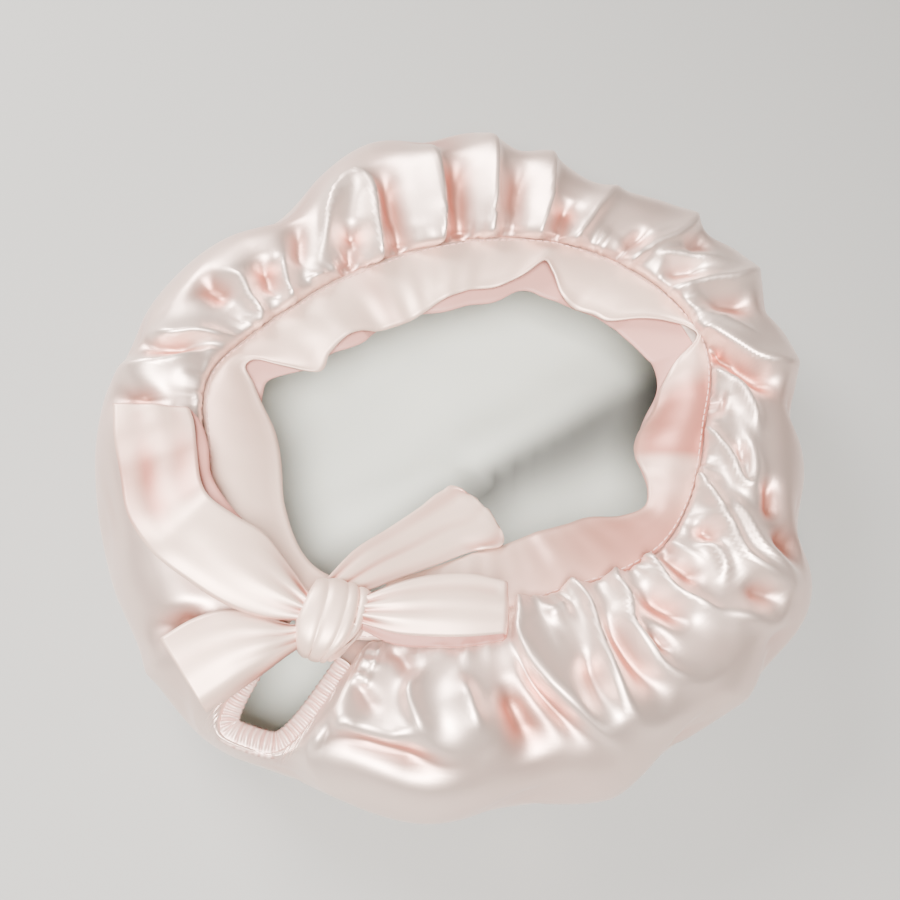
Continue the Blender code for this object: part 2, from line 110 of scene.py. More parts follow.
class Fold(NamedTuple):
    """One fold of the crown, as a ridge or, with a negative rise, as a valley.

    Before and after are its half widths on the clockwise and on the anticlockwise side of a route
    that runs outwards. The route's places are an angle and a share of the way from the stitched
    edge to the crown's widest line.
    """

    rise_mm: float
    before_mm: float
    after_mm: float
    route: tuple[tuple[float, float], ...]


class Rib(NamedTuple):
    """One line across a ribbon, from its left edge to its right, in millimetres.

    Cup is how far the middle stands over the straight line between the edges. Shade is how much painted shade
    its line gets.
    """

    left: tuple[float, float, float]
    right: tuple[float, float, float]
    cup: float
    shade: float = 0.0


class Ease(NamedTuple):
    """A soft rise from 0 to 1: the share at which it starts, and how far it takes."""

    start: float
    reach: float

    def at(self, share: np.ndarray) -> np.ndarray:
        """Read the rise.

        Args:
            share: Where it is read.

        Returns:
            0 before its start, 1 past its end.
        """
        return smooth_step((share - self.start) / self.reach)


class FloorFold(NamedTuple):
    """One soft fold of the floor: its line's offset and slope, half width and share of the height."""

    offset: float
    slope: float
    width: float
    share: float


class Crease(NamedTuple):
    """One crease of the knot: its place and width across the wrap, and its rise in millimetres."""

    place: float
    width: float
    rise_mm: float


class Lamp(NamedTuple):
    """One square soft light: its name, place, side, watts and colour."""

    name: str
    place: tuple[float, float, float]
    size: float
    power: float
    colour: tuple[float, float, float]


LOBES = (
    Lobe(0, 0.975), Lobe(18, 1.02), Lobe(35, 1.05), Lobe(50, 1.00), Lobe(62, 0.92),
    Lobe(75, 0.97), Lobe(92, 1.00), Lobe(106, 0.98), Lobe(118, 0.92), Lobe(128, 0.88),
    Lobe(142, 0.91), Lobe(165, 0.96), Lobe(185, 0.985), Lobe(210, 1.00), Lobe(230, 1.03),
    Lobe(246, 0.99), Lobe(262, 1.005), Lobe(278, 0.97), Lobe(290, 1.00), Lobe(303, 0.985),
    Lobe(318, 1.01), Lobe(333, 1.04), Lobe(347, 0.98),
)

EDGES = (
    Edge(0, 1.01, 1.00), Edge(20, 1.13, 0.98), Edge(33, 1.11, 1.00), Edge(47, 1.045, 1.02),
    Edge(63, 0.965, 1.03), Edge(82, 0.88, 1.03), Edge(100, 0.83, 1.03), Edge(122, 0.825, 1.02),
    Edge(135, 0.86, 1.00), Edge(149, 0.915, 1.00), Edge(160, 1.00, 0.98), Edge(172, 1.10, 0.98),
    Edge(188, 1.10, 1.00), Edge(208, 1.13, 1.00), Edge(230, 1.14, 0.98), Edge(245, 1.03, 0.96),
    Edge(260, 0.915, 0.97), Edge(277, 0.83, 0.98), Edge(298, 0.82, 0.98), Edge(310, 0.875, 0.98),
    Edge(323, 0.935, 0.98), Edge(340, 0.965, 1.00),
)

HEMS = (
    Hem(0, 0, 0.85, -12.0, 0.80), Hem(8, 0, 0.73, -11.0, 0.78), Hem(15, 0, 0.66, -7.0, 0.70),
    Hem(19.5, 0, 0.44, -2.0, 0.78), Hem(22.5, 0, 0.06, 1.0, 0.86), Hem(25.5, 0, 0.10, 1.5, 0.90),
    Hem(29, 0, 0.33, 1.5, 0.93), Hem(33.5, 0, 0.62, 0.5, 0.95), Hem(38, 0, 0.93, -1.5, 0.92),
    Hem(43, 0, 0.97, -2.0, 0.90), Hem(49, 0, 1.00, -2.5, 0.92), Hem(56, 0, 0.87, 0.0, 0.94),
    Hem(62, 0, 0.58, 2.5, 0.90), Hem(66, 0, 0.45, 4.0, 0.84), Hem(70, 0, 0.65, 2.5, 0.84),
    Hem(76, 0, 0.80, 0.5, 0.98), Hem(91, 0, 0.82, 0.0, 0.99), Hem(103, 0, 0.86, -1.0, 0.97),
    Hem(112, 0, 0.93, -2.5, 0.88), Hem(127, 0, 0.98, -3.0, 0.85), Hem(135, 0, 0.95, -2.0, 0.90),
    Hem(141, 0, 0.87, 0.5, 0.98), Hem(148, 0, 0.86, 0.5, 0.97), Hem(154, 1.2, 0.93, -0.5, 0.92),
    Hem(160, 3.2, 1.02, -2.0, 0.95), Hem(164, 0.8, 0.66, 0.5, 0.90), Hem(166.5, -1.2, 0.42, 1.5, 0.80),
    Hem(169, -1.3, 0.36, 1.0, 0.70), Hem(173, -1.2, 0.58, -1.0, 0.72), Hem(179, 0, 0.81, -3.0, 0.78),
    Hem(188, 0, 0.93, -4.5, 0.85), Hem(198, 0, 0.94, -4.5, 0.86), Hem(207, 0, 0.86, -3.0, 0.80),
    Hem(220, 0, 0.78, -2.0, 0.74), Hem(256, 0, 0.97, -2.5, 0.90), Hem(268, 0, 0.96, -4.0, 0.88),
    Hem(282, 0, 0.89, -5.5, 0.82), Hem(298, 0, 0.92, -5.5, 0.86), Hem(311, 0, 0.97, -5.0, 0.90),
    Hem(321, 0, 0.93, -5.0, 0.86), Hem(327, 0, 0.68, -4.0, 0.62), Hem(333, 0, 0.50, -3.5, 0.46),
    Hem(339, 0, 0.56, -3.5, 0.52), Hem(346, 0, 0.74, -6.0, 0.68), Hem(353, 0, 0.86, -10.0, 0.80),
)

# Painted shade on the band by angle, darkest where it slopes steeply into the bag
SHADES = (
    Shade(0, 0.95), Shade(11, 0.90), Shade(16, 0.35), Shade(24, 0.10), Shade(60, 0.10),
    Shade(90, 0.0), Shade(118, 0.0), Shade(126, 0.30), Shade(134, 0.05), Shade(160, 0.15),
    Shade(175, 0.25), Shade(200, 0.05), Shade(235, 0.20), Shade(270, 0.15), Shade(290, 0.45),
    Shade(315, 0.80), Shade(332, 0.75), Shade(343, 0.40), Shade(349, 0.40), Shade(352, 0.90),
)

# Folds of the crown, anticlockwise from the right
FOLDS = (
    Fold(3.0, 3.0, 2.5, ((13, .03), (11.5, .12), (8, .25), (2, .33), (-5, .37))),
    Fold(-1.8, 4.0, 4.0, ((5, .06), (4, .20))),
    Fold(-3.6, 4.0, 5.0, ((17, .05), (14, .20), (9, .36), (6, .54))),
    Fold(4.0, 3.5, 6.0, ((24.5, .05), (22, .15), (17, .27), (13, .38), (11.5, .50), (12, .62),
                         (14, .76), (16, .92))),
    Fold(1.8, 3.0, 3.0, ((30, .08), (25, .20), (20, .32), (16.5, .45))),
    Fold(-2.6, 4.0, 4.0, ((28.5, .13), (26, .30), (23, .50))),
    Fold(3.4, 3.0, 3.5, ((34.5, .03), (33.5, .17), (31, .33), (29.5, .42), (29.5, .55), (31, .75),
                         (32, .92))),
    Fold(-2.2, 3.0, 3.0, ((39, .10), (36.5, .22), (33.8, .34))),
    Fold(2.4, 2.5, 3.0, ((45.5, .16), (42, .25), (36, .38), (33, .50))),
    Fold(-2.0, 4.0, 4.0, ((41, .33), (38, .50))),
    Fold(3.2, 2.5, 3.5, ((46.5, .02), (46, .15), (45, .27), (43, .38), (43, .48), (44.5, .62),
                         (45, .85))),
    Fold(-2.4, 3.0, 3.0, ((50, .04), (49, .20), (47.5, .35))),
    Fold(2.8, 3.0, 4.0, ((61.5, .03), (60.5, .20), (60, .35), (59, .55), (59.5, .80))),
    Fold(-2.6, 4.0, 4.0, ((66, .05), (66, .20), (66.5, .38))),
    Fold(3.2, 2.2, 6.0, ((71, .03), (71.5, .30), (73, .45), (73.5, .60), (73, .80))),
    Fold(-2.4, 4.5, 4.5, ((78.5, .06), (79, .30), (79, .50))),
    Fold(3.4, 2.2, 5.0, ((84, .03), (85, .30), (85.5, .50), (85.5, .75))),
    Fold(-3.0, 6.0, 5.0, ((93.5, .05), (93.5, .30), (93, .50))),
    Fold(3.4, 2.4, 7.0, ((101, .03), (100.5, .12), (99, .25), (98.5, .40), (98, .62))),
    Fold(-3.0, 5.0, 5.0, ((112.5, .08), (111, .30), (109, .52))),
    Fold(3.6, 2.2, 3.5, ((120.5, .03), (119, .15), (117, .25), (114.5, .35), (113.8, .41),
                         (115, .47), (119, .47), (124, .41), (129, .32), (133.5, .23), (135.5, .12))),
    Fold(-3.0, 4.5, 5.0, ((128, .06), (125, .20), (121, .33))),
    Fold(1.6, 1.5, 1.5, ((135, .11), (138, .14), (141, .15))),
    Fold(-2.4, 3.0, 3.5, ((142, .16), (139, .25), (134, .38), (130, .50))),
    Fold(3.2, 3.5, 2.2, ((148.5, .08), (146.5, .15), (144.5, .22), (142, .28), (138, .36))),
    Fold(-3.0, 3.5, 4.5, ((150, .14), (146.5, .28), (143.5, .42))),
    Fold(2.6, 3.0, 2.5, ((157, .04), (155, .17), (153, .27), (150.5, .36), (151, .50))),
    Fold(-2.8, 3.5, 4.5, ((155.5, .28), (154.5, .45), (154, .58))),
    Fold(3.0, 4.0, 2.0, ((163, .10), (164, .20), (164.5, .32), (166.5, .42), (167, .50), (166, .64))),
    Fold(-2.6, 2.2, 2.8, ((166.8, .20), (168.5, .35), (169, .50), (168, .64))),
    Fold(3.0, 2.5, 4.0, ((166, .10), (170, .24), (173, .35), (174, .50), (173.5, .65), (174, .82))),
    Fold(-2.8, 2.8, 2.8, ((180, .28), (179, .50), (178, .65), (177, .74))),
    Fold(-1.6, 7.0, 7.0, ((195, .60), (197, .98))),
    Fold(1.6, 6.0, 6.0, ((206, .55), (207, 1.0))),
    Fold(-3.0, 2.8, 3.0, ((220, .33), (218, .50), (217, .65), (217, .80))),
    Fold(3.0, 3.0, 3.5, ((221, .64), (219, .85), (217.5, 1.05))),
    Fold(2.2, 3.0, 3.0, ((221, .70), (226, .73), (229, .82), (231, .98))),
    Fold(-3.0, 3.5, 4.0, ((236, .36), (238, .60), (240, .90), (243, 1.12))),
    Fold(3.0, 2.8, 3.5, ((243, .35), (243.5, .60), (245, .75), (248, .85), (253, .98))),
    Fold(3.0, 2.6, 2.6, ((243.5, .38), (245.5, .47), (249, .53), (253, .53), (257, .50), (261, .53))),
    Fold(-3.4, 2.6, 2.6, ((244, .62), (249, .58), (255, .59), (261, .62), (267, .64))),
    Fold(-1.2, 2.5, 2.5, ((245.5, .31), (248, .38), (252, .46))),
    Fold(-1.3, 2.5, 2.5, ((248, .14), (252, .20), (256, .33))),
    Fold(2.8, 2.2, 3.5, ((257.5, .26), (255.5, .36), (258, .45), (262.5, .54))),
    Fold(3.0, 5.0, 3.5, ((263.5, .28), (266, .42), (270, .58))),
    Fold(-3.2, 3.5, 4.5, ((272, .34), (275, .50), (278, .68))),
    Fold(-2.6, 2.5, 3.0, ((277, .22), (279, .38), (283.5, .54), (287, .66))),
    Fold(3.4, 2.2, 5.5, ((281.5, .03), (280.5, .12), (278.5, .22), (279, .30), (282, .40), (286, .50),
                         (290, .62), (293, .78))),
    Fold(2.2, 3.5, 3.5, ((285, .20), (293, .16))),
    Fold(-2.8, 3.5, 3.0, ((291, .32), (290, .45), (292, .58))),
    Fold(3.2, 3.0, 3.0, ((296, .06), (296.5, .20), (295, .30), (293.5, .42), (293.5, .54),
                         (296.5, .64), (301, .69), (306, .70))),
    Fold(-3.4, 3.2, 3.6, ((298.5, .18), (297.5, .35), (299, .50), (303, .61))),
    Fold(3.2, 3.5, 2.2, ((308.5, .03), (306, .15), (305, .24), (302, .31), (301.8, .40), (302, .48),
                         (305, .57), (311, .63), (316, .62))),
    Fold(-3.0, 3.5, 4.0, ((309, .18), (310, .30), (313, .42))),
    Fold(-2.6, 2.2, 2.5, ((304.3, .35), (305, .48))),
    Fold(2.4, 4.0, 4.0, ((309, .66), (312, .76), (315, .90), (316, 1.02))),
    Fold(-2.6, 7.0, 7.0, ((299, .80), (304, 1.08))),
    Fold(2.8, 3.5, 2.2, ((318.5, .03), (316, .18), (314.5, .28), (316, .38), (318.5, .50))),
    Fold(-2.6, 3.0, 4.0, ((321.5, .08), (320.5, .22), (320, .34))),
    Fold(3.2, 2.6, 3.0, ((316.5, .40), (320, .50), (324, .65), (328, .80))),
    Fold(2.2, 2.0, 2.2, ((327, .18), (328, .28), (326, .33), (321.5, .38))),
    Fold(-2.6, 2.5, 3.0, ((331.5, .14), (330.5, .28))),
    Fold(-3.0, 3.0, 3.5, ((324, .42), (326, .52), (328, .62))),
    Fold(3.4, 3.5, 3.0, ((345, .03), (340, .17), (334, .28), (329.5, .37), (329, .50), (330.5, .65),
                         (331.5, .80))),
    Fold(2.6, 2.6, 3.2, ((344, .20), (338, .32), (333, .42), (332, .55), (333, .68))),
    Fold(-3.0, 3.0, 4.0, ((337.5, .42), (336, .55), (337, .66))),
    Fold(3.2, 2.8, 2.4, ((358, .03), (355, .13), (349, .25), (344.5, .30), (343.7, .335),
                         (347, .35), (353, .335), (360, .27))),
    Fold(-2.8, 2.8, 2.8, ((338, .44), (343, .43), (349, .42))),
    Fold(-1.6, 2.0, 2.0, ((348.5, .30), (355, .28))),
    Fold(-1.8, 7.0, 7.0, ((274, .80), (279, 1.10))),
    Fold(1.8, 6.0, 6.0, ((288, .82), (291, 1.10))),
)

# Puckers that the nape's elastic draws into the crown
PUCKERS = (
    Fold(1.0, 1.0, 1.4, ((244.0, .05), (248, .07))),
    Fold(1.2, 1.0, 1.4, ((244.0, .12), (249, .16))),
    Fold(1.3, 1.0, 1.4, ((244.3, .20), (249.5, .25))),
    Fold(1.2, 1.0, 1.4, ((244.5, .28), (249, .34))),
    Fold(1.2, 1.0, 1.4, ((244.5, .46), (247.5, .56))),
    Fold(1.0, 1.0, 1.4, ((243.5, .52), (245.5, .64))),
    Fold(1.0, 1.0, 1.4, ((228.5, .30), (225, .32))),
    Fold(1.0, 1.0, 1.4, ((228.5, .42), (225, .46))),
)

# Dips between the folds' lower ends, which scallop the outline
SCALLOPS = (
    Fold(-2.2, 5.0, 5.0, ((5, .50), (4, .75), (4, 1.0))),
    Fold(-1.8, 4.0, 4.0, ((24, .45), (23.5, .70), (24, 1.0))),
    Fold(-1.8, 4.0, 4.0, ((40, .48), (40.5, .75), (41, 1.0))),
    Fold(-2.0, 4.0, 4.0, ((79, .45), (79.5, .75), (80, 1.0))),
    Fold(-2.8, 7.0, 7.0, ((95, .42), (97, .70), (98, 1.0))),
    Fold(-3.0, 9.0, 9.0, ((126, .48), (129, .72), (131, 1.0))),
    Fold(-2.0, 5.0, 5.0, ((165, .60), (167, .80), (168, 1.0))),
    Fold(-1.5, 4.0, 4.0, ((225, .60), (225, 1.0))),
    Fold(-2.2, 4.0, 4.0, ((323, .60), (323, .80), (322, 1.05))),
    Fold(-2.6, 6.0, 6.0, ((341, .55), (343, .75), (345, 1.0))),
)


def smooth_through(marks: np.ndarray, values: np.ndarray, places: np.ndarray) -> np.ndarray:
    """Read a smooth curve that passes through given values.

    Args:
        marks: Rising places at which the curve is given.
        values: Its values there, one row for each mark.
        places: Where it is read.

    Returns:
        The curve's values at the places.
    """
    values = np.asarray(values, float)
    slopes = np.gradient(values, marks, axis=0)
    at = np.clip(np.searchsorted(marks, places, side="right") - 1, 0, len(marks) - 2)
    step = marks[at + 1] - marks[at]
    share = (places - marks[at]) / step
    if values.ndim > 1:
        step = step[:, None]
        share = share[:, None]
    square = share * share
    cube = square * share
    start = (2 * cube - 3 * square + 1) * values[at] + (cube - 2 * square + share) * step * slopes[at]
    end = (3 * square - 2 * cube) * values[at + 1] + (cube - square) * step * slopes[at + 1]
    return start + end


def ring_value(angles: np.ndarray, rows: tuple, name: str) -> np.ndarray:
    """Read one column of a table all the way round, on a smooth closed curve.

    Args:
        angles: Where it is read, in degrees.
        rows: The table, by rising angle.
        name: The column.

    Returns:
        The column's value at each angle.
    """
    marks = np.array([row.angle for row in rows], float)
    values = np.array([getattr(row, name) for row in rows], float)
    marks = np.concatenate((marks[-2:] - 360.0, marks, marks[:2] + 360.0))
    values = np.concatenate((values[-2:], values, values[:2]))
    return smooth_through(marks, values, np.mod(np.asarray(angles, float), 360.0))


def turned_by(angles: np.ndarray, angle: float) -> np.ndarray:
    """Signed difference from one angle.

    Args:
        angles: The angles.
        angle: The one that they are compared with.

    Returns:
        The differences, between -180 and 180 degrees.
    """
    return np.mod(np.asarray(angles, float) - angle + 180.0, 360.0) - 180.0


def plan_point(radius: np.ndarray, angles: np.ndarray) -> np.ndarray:
    """Turn radius and angle into X and Y.

    Args:
        radius: Distance from the middle.
        angles: Directions.

    Returns:
        The places in plan.
    """
    turn = np.radians(angles)
    return np.stack((radius * np.cos(turn), radius * np.sin(turn)), axis=-1)


def smooth_step(share: np.ndarray) -> np.ndarray:
    """Rise softly from 0 to 1.

    Args:
        share: Where the rise is read.

    Returns:
        0 up to a share of 0, 1 past a share of 1.
    """
    share = np.clip(share, 0.0, 1.0)
    return share * share * (3.0 - 2.0 * share)


def unit(vectors: np.ndarray) -> np.ndarray:
    """Bring vectors to length 1.

    Args:
        vectors: Any vectors.

    Returns:
        Their directions.
    """
    return vectors / np.maximum(np.linalg.norm(vectors, axis=-1, keepdims=True), 1e-12)


def along_line(points: np.ndarray, count: int) -> np.ndarray:
    """Points evenly spaced on a smooth line through given ones.

    Args:
        points: The line's points.
        count: How many points to give back.

    Returns:
        The points.
    """
    marks = np.concatenate(((0.0,), np.cumsum(np.linalg.norm(np.diff(points, axis=0), axis=1))))
    return smooth_through(marks, points, np.linspace(0.0, marks[-1], count))


class Beside(NamedTuple):
    """Where points lie beside a route: distance, share along it, and side (1 left, -1 right)."""

    distance: np.ndarray
    share: np.ndarray
    side: np.ndarray


def beside_route(points: np.ndarray, normals: np.ndarray, route: np.ndarray) -> Beside:
    """Find where points lie beside a route on a surface.

    Args:
        points: The points.
        normals: The surface's outward directions there.
        route: The route's points, in order.

    Returns:
        The distances, shares and sides.
    """
    ahead = np.diff(route, axis=0)
    offset = points[:, None, :] - route[None, :-1, :]
    share = np.clip((offset * ahead).sum(axis=2) / (ahead * ahead).sum(axis=1), 0.0, 1.0)
    near = offset - share[..., None] * ahead
    square = (near * near).sum(axis=2)
    pick = square.argmin(axis=1)
    row = np.arange(len(points))
    cross = np.cross(ahead[pick], near[row, pick])
    side = np.where((cross * normals).sum(axis=1) >= 0.0, 1.0, -1.0)
    return Beside(np.sqrt(square[row, pick]), (pick + share[row, pick]) / len(ahead), side)


@dataclass(frozen=True)
class CrownForm:
    """The gathered bag's smooth shape, before its folds."""

    radius: float = 0.130
    widest_height: float = 0.024
    under_curve: float = 0.026
    puff_rise: float = 0.008
    puff_share: float = 0.45
    opening_radius: float = 0.082
    seam_height: float = 0.050
    top_way: float = 0.28
    widest_way: float = 0.68
    keyhole_angle: float = 236.0
    keyhole_length: float = 0.037
    keyhole_width: float = 0.016
    keyhole_squareness: int = 6
    keyhole_drop: float = 0.008
    elastic_width: float = 0.0050
    knot_inset: float = 0.0044
    edge_lean: float = 0.3

    def band_radius(self, angles: np.ndarray) -> np.ndarray:
        """Radius of the line on which the band is stitched.

        Args:
            angles: Where it is read.

        Returns:
            The radii.
        """
        return self.opening_radius * ring_value(angles, EDGES, "radius")

    def knot_radius(self) -> float:
        """Radius at which the knot sits."""
        return float(self.band_radius(self.keyhole_angle)) - self.knot_inset

    def keyhole_half_turn(self) -> float:
        """Half the turn of the crown's cut for the keyhole."""
        half_width = self.keyhole_width / 2 + self.elastic_width
        return math.degrees(half_width / (self.knot_radius() + self.keyhole_length / 2))

    def keyhole_share(self, angles: np.ndarray) -> np.ndarray:
        """1 in the cut for the keyhole, falling smoothly to 0 past its sides.

        Args:
            angles: Where it is read.

        Returns:
            The shares.
        """
        aside = turned_by(angles, self.keyhole_angle) / self.keyhole_half_turn()
        return np.exp(-(aside**self.keyhole_squareness))

    def edge_radius(self, angles: np.ndarray) -> np.ndarray:
        """Radius of the crown's gathered edge.

        Args:
            angles: Where it is read.

        Returns:
            The radii.
        """
        return self.band_radius(angles) + self.keyhole_length * self.keyhole_share(angles)

    def seam(self, angles: np.ndarray) -> np.ndarray:
        """Height of the seam under the band.

        Args:
            angles: Where it is read.

        Returns:
            The heights.
        """
        return self.seam_height * ring_value(angles, EDGES, "height")

    def edge_height(self, angles: np.ndarray) -> np.ndarray:
        """Height of the crown's gathered edge, which dips at the keyhole.

        Args:
            angles: Where it is read.

        Returns:
            The heights.
        """
        return self.seam(angles) - self.keyhole_drop * self.keyhole_share(angles)

    def edge_inward(self, angles: np.ndarray) -> np.ndarray:
        """Plan direction square to the gathered edge, into the opening.

        Args:
            angles: Where it is read.

        Returns:
            The directions.
        """
        nudge = 0.05
        ahead = plan_point(self.edge_radius(angles + nudge), angles + nudge)
        behind = plan_point(self.edge_radius(angles - nudge), angles - nudge)
        along = unit(ahead - behind)
        return np.stack((-along[..., 1], along[..., 0]), axis=-1)

    def side(self, way: float, angles: np.ndarray) -> tuple[np.ndarray, np.ndarray]:
        """Points and outward directions of the side at a share of the way down.

        Args:
            way: 0 at the stitched edge, 1 where the side meets the floor.
            angles: Where the side is read.

        Returns:
            The points and the directions.
        """
        edge = self.edge_radius(angles)
        rim = self.edge_height(angles)
        reach = self.radius * ring_value(angles, LOBES, "reach")
        floor = reach - self.under_curve
        top = edge + self.puff_share * (reach - edge)
        peak = rim + self.puff_rise * (reach - edge) / (self.radius - self.opening_radius)
        if way < self.top_way:
            turn = way / self.top_way * math.pi / 2
            radius = top + (edge - top) * math.cos(turn)
            height = rim + (peak - rim) * math.sin(turn)
            out, up = -(peak - rim) * math.cos(turn), (top - edge) * math.sin(turn)
            up = up + self.edge_lean * (top - edge) * math.cos(turn)
        elif way < self.widest_way:
            turn = (way - self.top_way) / (self.widest_way - self.top_way) * math.pi / 2
            radius = top + (reach - top) * math.sin(turn)
            height = self.widest_height + (peak - self.widest_height) * math.cos(turn)
            out, up = (peak - self.widest_height) * math.sin(turn), (reach - top) * math.cos(turn)
        else:
            turn = (way - self.widest_way) / (1.0 - self.widest_way) * math.pi / 2
            radius = floor + (reach - floor) * math.cos(turn)
            height = self.widest_height * (1.0 - math.sin(turn)) * np.ones_like(radius)
            out = self.widest_height * math.cos(turn) * np.ones_like(radius)
            up = -(reach - floor) * math.sin(turn)
        points = np.concatenate((plan_point(radius, angles), height[..., None]), axis=-1)
        normals = np.concatenate((plan_point(out, angles), (up * np.ones_like(radius))[..., None]), axis=-1)
        return points, unit(normals)

    def place(self, angle: float, row: float) -> np.ndarray:
        """Find a point of the side.

        Args:
            angle: Its angle.
            row: 0 at the stitched edge, 1 at the widest line, 2 where the side meets the floor.

        Returns:
            The point.
        """
        way = row * self.widest_way
        if row >= 1.0:
            way = self.widest_way + (row - 1.0) * (1.0 - self.widest_way)
        return self.side(way, np.array([angle]))[0][0]


def mesh_from_net(name: str, net: np.ndarray, closed: bool = False, filled: bool = False) -> bpy.types.Object:
    """Make a sheet from a net of points, with a UV map in metres along and across the cloth.

    Args:
        name: The piece's name.
        net: Points along and across, with their outer side towards across x along.
        closed: Whether the last line joins the first.
        filled: Whether a fan closes the last column.

    Returns:
        The sheet's object, at the origin.
    """
    along, across = net.shape[:2]
    points = net.reshape(-1, 3)
    last = along if closed else along - 1
    this = np.arange(last)[:, None] * across + np.arange(across - 1)[None, :]
    that = ((np.arange(last) + 1) % along)[:, None] * across + np.arange(across - 1)[None, :]
    faces = np.stack((this, this + 1, that + 1, that), axis=-1).reshape(-1, 4).tolist()
    if filled:
        middle = len(points)
        points = np.vstack((points, net[:, -1].mean(axis=0)))
        for row in range(along):
            faces.append((row * across + across - 1, middle, (row + 1) % along * across + across - 1))
    mesh = bpy.data.meshes.new(name)
    mesh.from_pydata(points.tolist(), [], faces)
    lengths = np.linalg.norm(np.diff(net, axis=0, append=net[:1]), axis=2).mean(axis=1)
    widths = np.linalg.norm(np.diff(net, axis=1), axis=2).mean(axis=0)
    u = np.concatenate(((0.0,), np.cumsum(lengths)))
    v = np.concatenate(((0.0,), np.cumsum(widths), (widths.sum() * 1.2,)))
    corners = np.empty(len(mesh.loops), dtype=np.int32)
    mesh.loops.foreach_get("vertex_index", corners)
    row = np.minimum(corners // across, along - 1)
    column = np.where(corners >= along * across, across, corners % across)
    starts = np.empty(len(mesh.polygons), dtype=np.int32)
    mesh.polygons.foreach_get("loop_start", starts)
    totals = np.empty(len(mesh.polygons), dtype=np.int32)
    mesh.polygons.foreach_get("loop_total", totals)
    at_last = np.maximum.reduceat(row, starts) == along - 1
    at_first = np.minimum.reduceat(row, starts) == 0
    wraps = np.repeat(at_last & at_first, totals)
    row = np.where(wraps & (row == 0), along, row)
    layer = mesh.uv_layers.new(name="Cloth")
    layer.data.foreach_set("uv", np.stack((u[row], v[column]), axis=-1).ravel())
    mesh.shade_smooth()
    piece = bpy.data.objects.new(name, mesh)
    bpy.context.collection.objects.link(piece)
    return piece


def select_only(piece: bpy.types.Object) -> None:
    """Make one object the only selected and the active one.

    Args:
        piece: The object.
    """
    bpy.ops.object.select_all(action="DESELECT")
    piece.select_set(True)
    bpy.context.view_layer.objects.active = piece


def thicken(piece: bpy.types.Object, wall: float, materials: list[bpy.types.Material]) -> None:
    """Give a sheet its wall on the inner side, with the second material, if any, inside.

    Args:
        piece: The sheet.
        wall: Its thickness.
        materials: The outer finish, and the inner one if it differs.
    """
    for material in materials:
        piece.data.materials.append(material)
    select_only(piece)
    solid = piece.modifiers.new("Wall", "SOLIDIFY")
    solid.thickness = wall
    solid.offset = -1.0
    solid.material_offset = len(materials) - 1
    bpy.ops.object.modifier_apply(modifier=solid.name)


def net_tree(nets: list[np.ndarray]) -> BVHTree:
    """Gather the faces of some nets, to be touched by a straight line.

    Args:
        nets: The nets.

    Returns:
        The tree of their faces.
    """
    points = []
    faces = []
    for net in nets:
        along, across = net.shape[:2]
        first = len(points)
        points.extend(Vector(point) for point in net.reshape(-1, 3))
        for row in range(along - 1):
            for column in range(across - 1):
                corner = first + row * across + column
                faces.append((corner, corner + 1, corner + across + 1, corner + across))
    return BVHTree.FromPolygons(points, faces)


def lie_on(net: np.ndarray, tree: BVHTree, clearance: float, rounds: int = 3) -> np.ndarray:
    """Lift a sheet's points until they clear what is under them.

    Args:
        net: The sheet's points.
        tree: What it lies on.
        clearance: How far the points stay above it.
        rounds: How often the lift is smoothed.

    Returns:
        The lifted points.
    """
    down = Vector((0.0, 0.0, -1.0))
    need = np.zeros(net.shape[:2])
    for row in range(net.shape[0]):
        for column in range(net.shape[1]):
            point = net[row, column]
            hit = tree.ray_cast(Vector((point[0], point[1], 1.0)), down)[0]
            if hit is not None:
                need[row, column] = max(0.0, hit.z + clearance - point[2])
    lift = need.copy()
    for _ in range(rounds):
        padded = np.pad(lift, 1, mode="edge")
        soft = (padded[:-2, 1:-1] + padded[2:, 1:-1] + padded[1:-1, :-2] + padded[1:-1, 2:]) / 4
        lift = np.maximum(need, 0.5 * (lift + soft))
    lifted = net.copy()
    lifted[..., 2] += lift
    return lifted


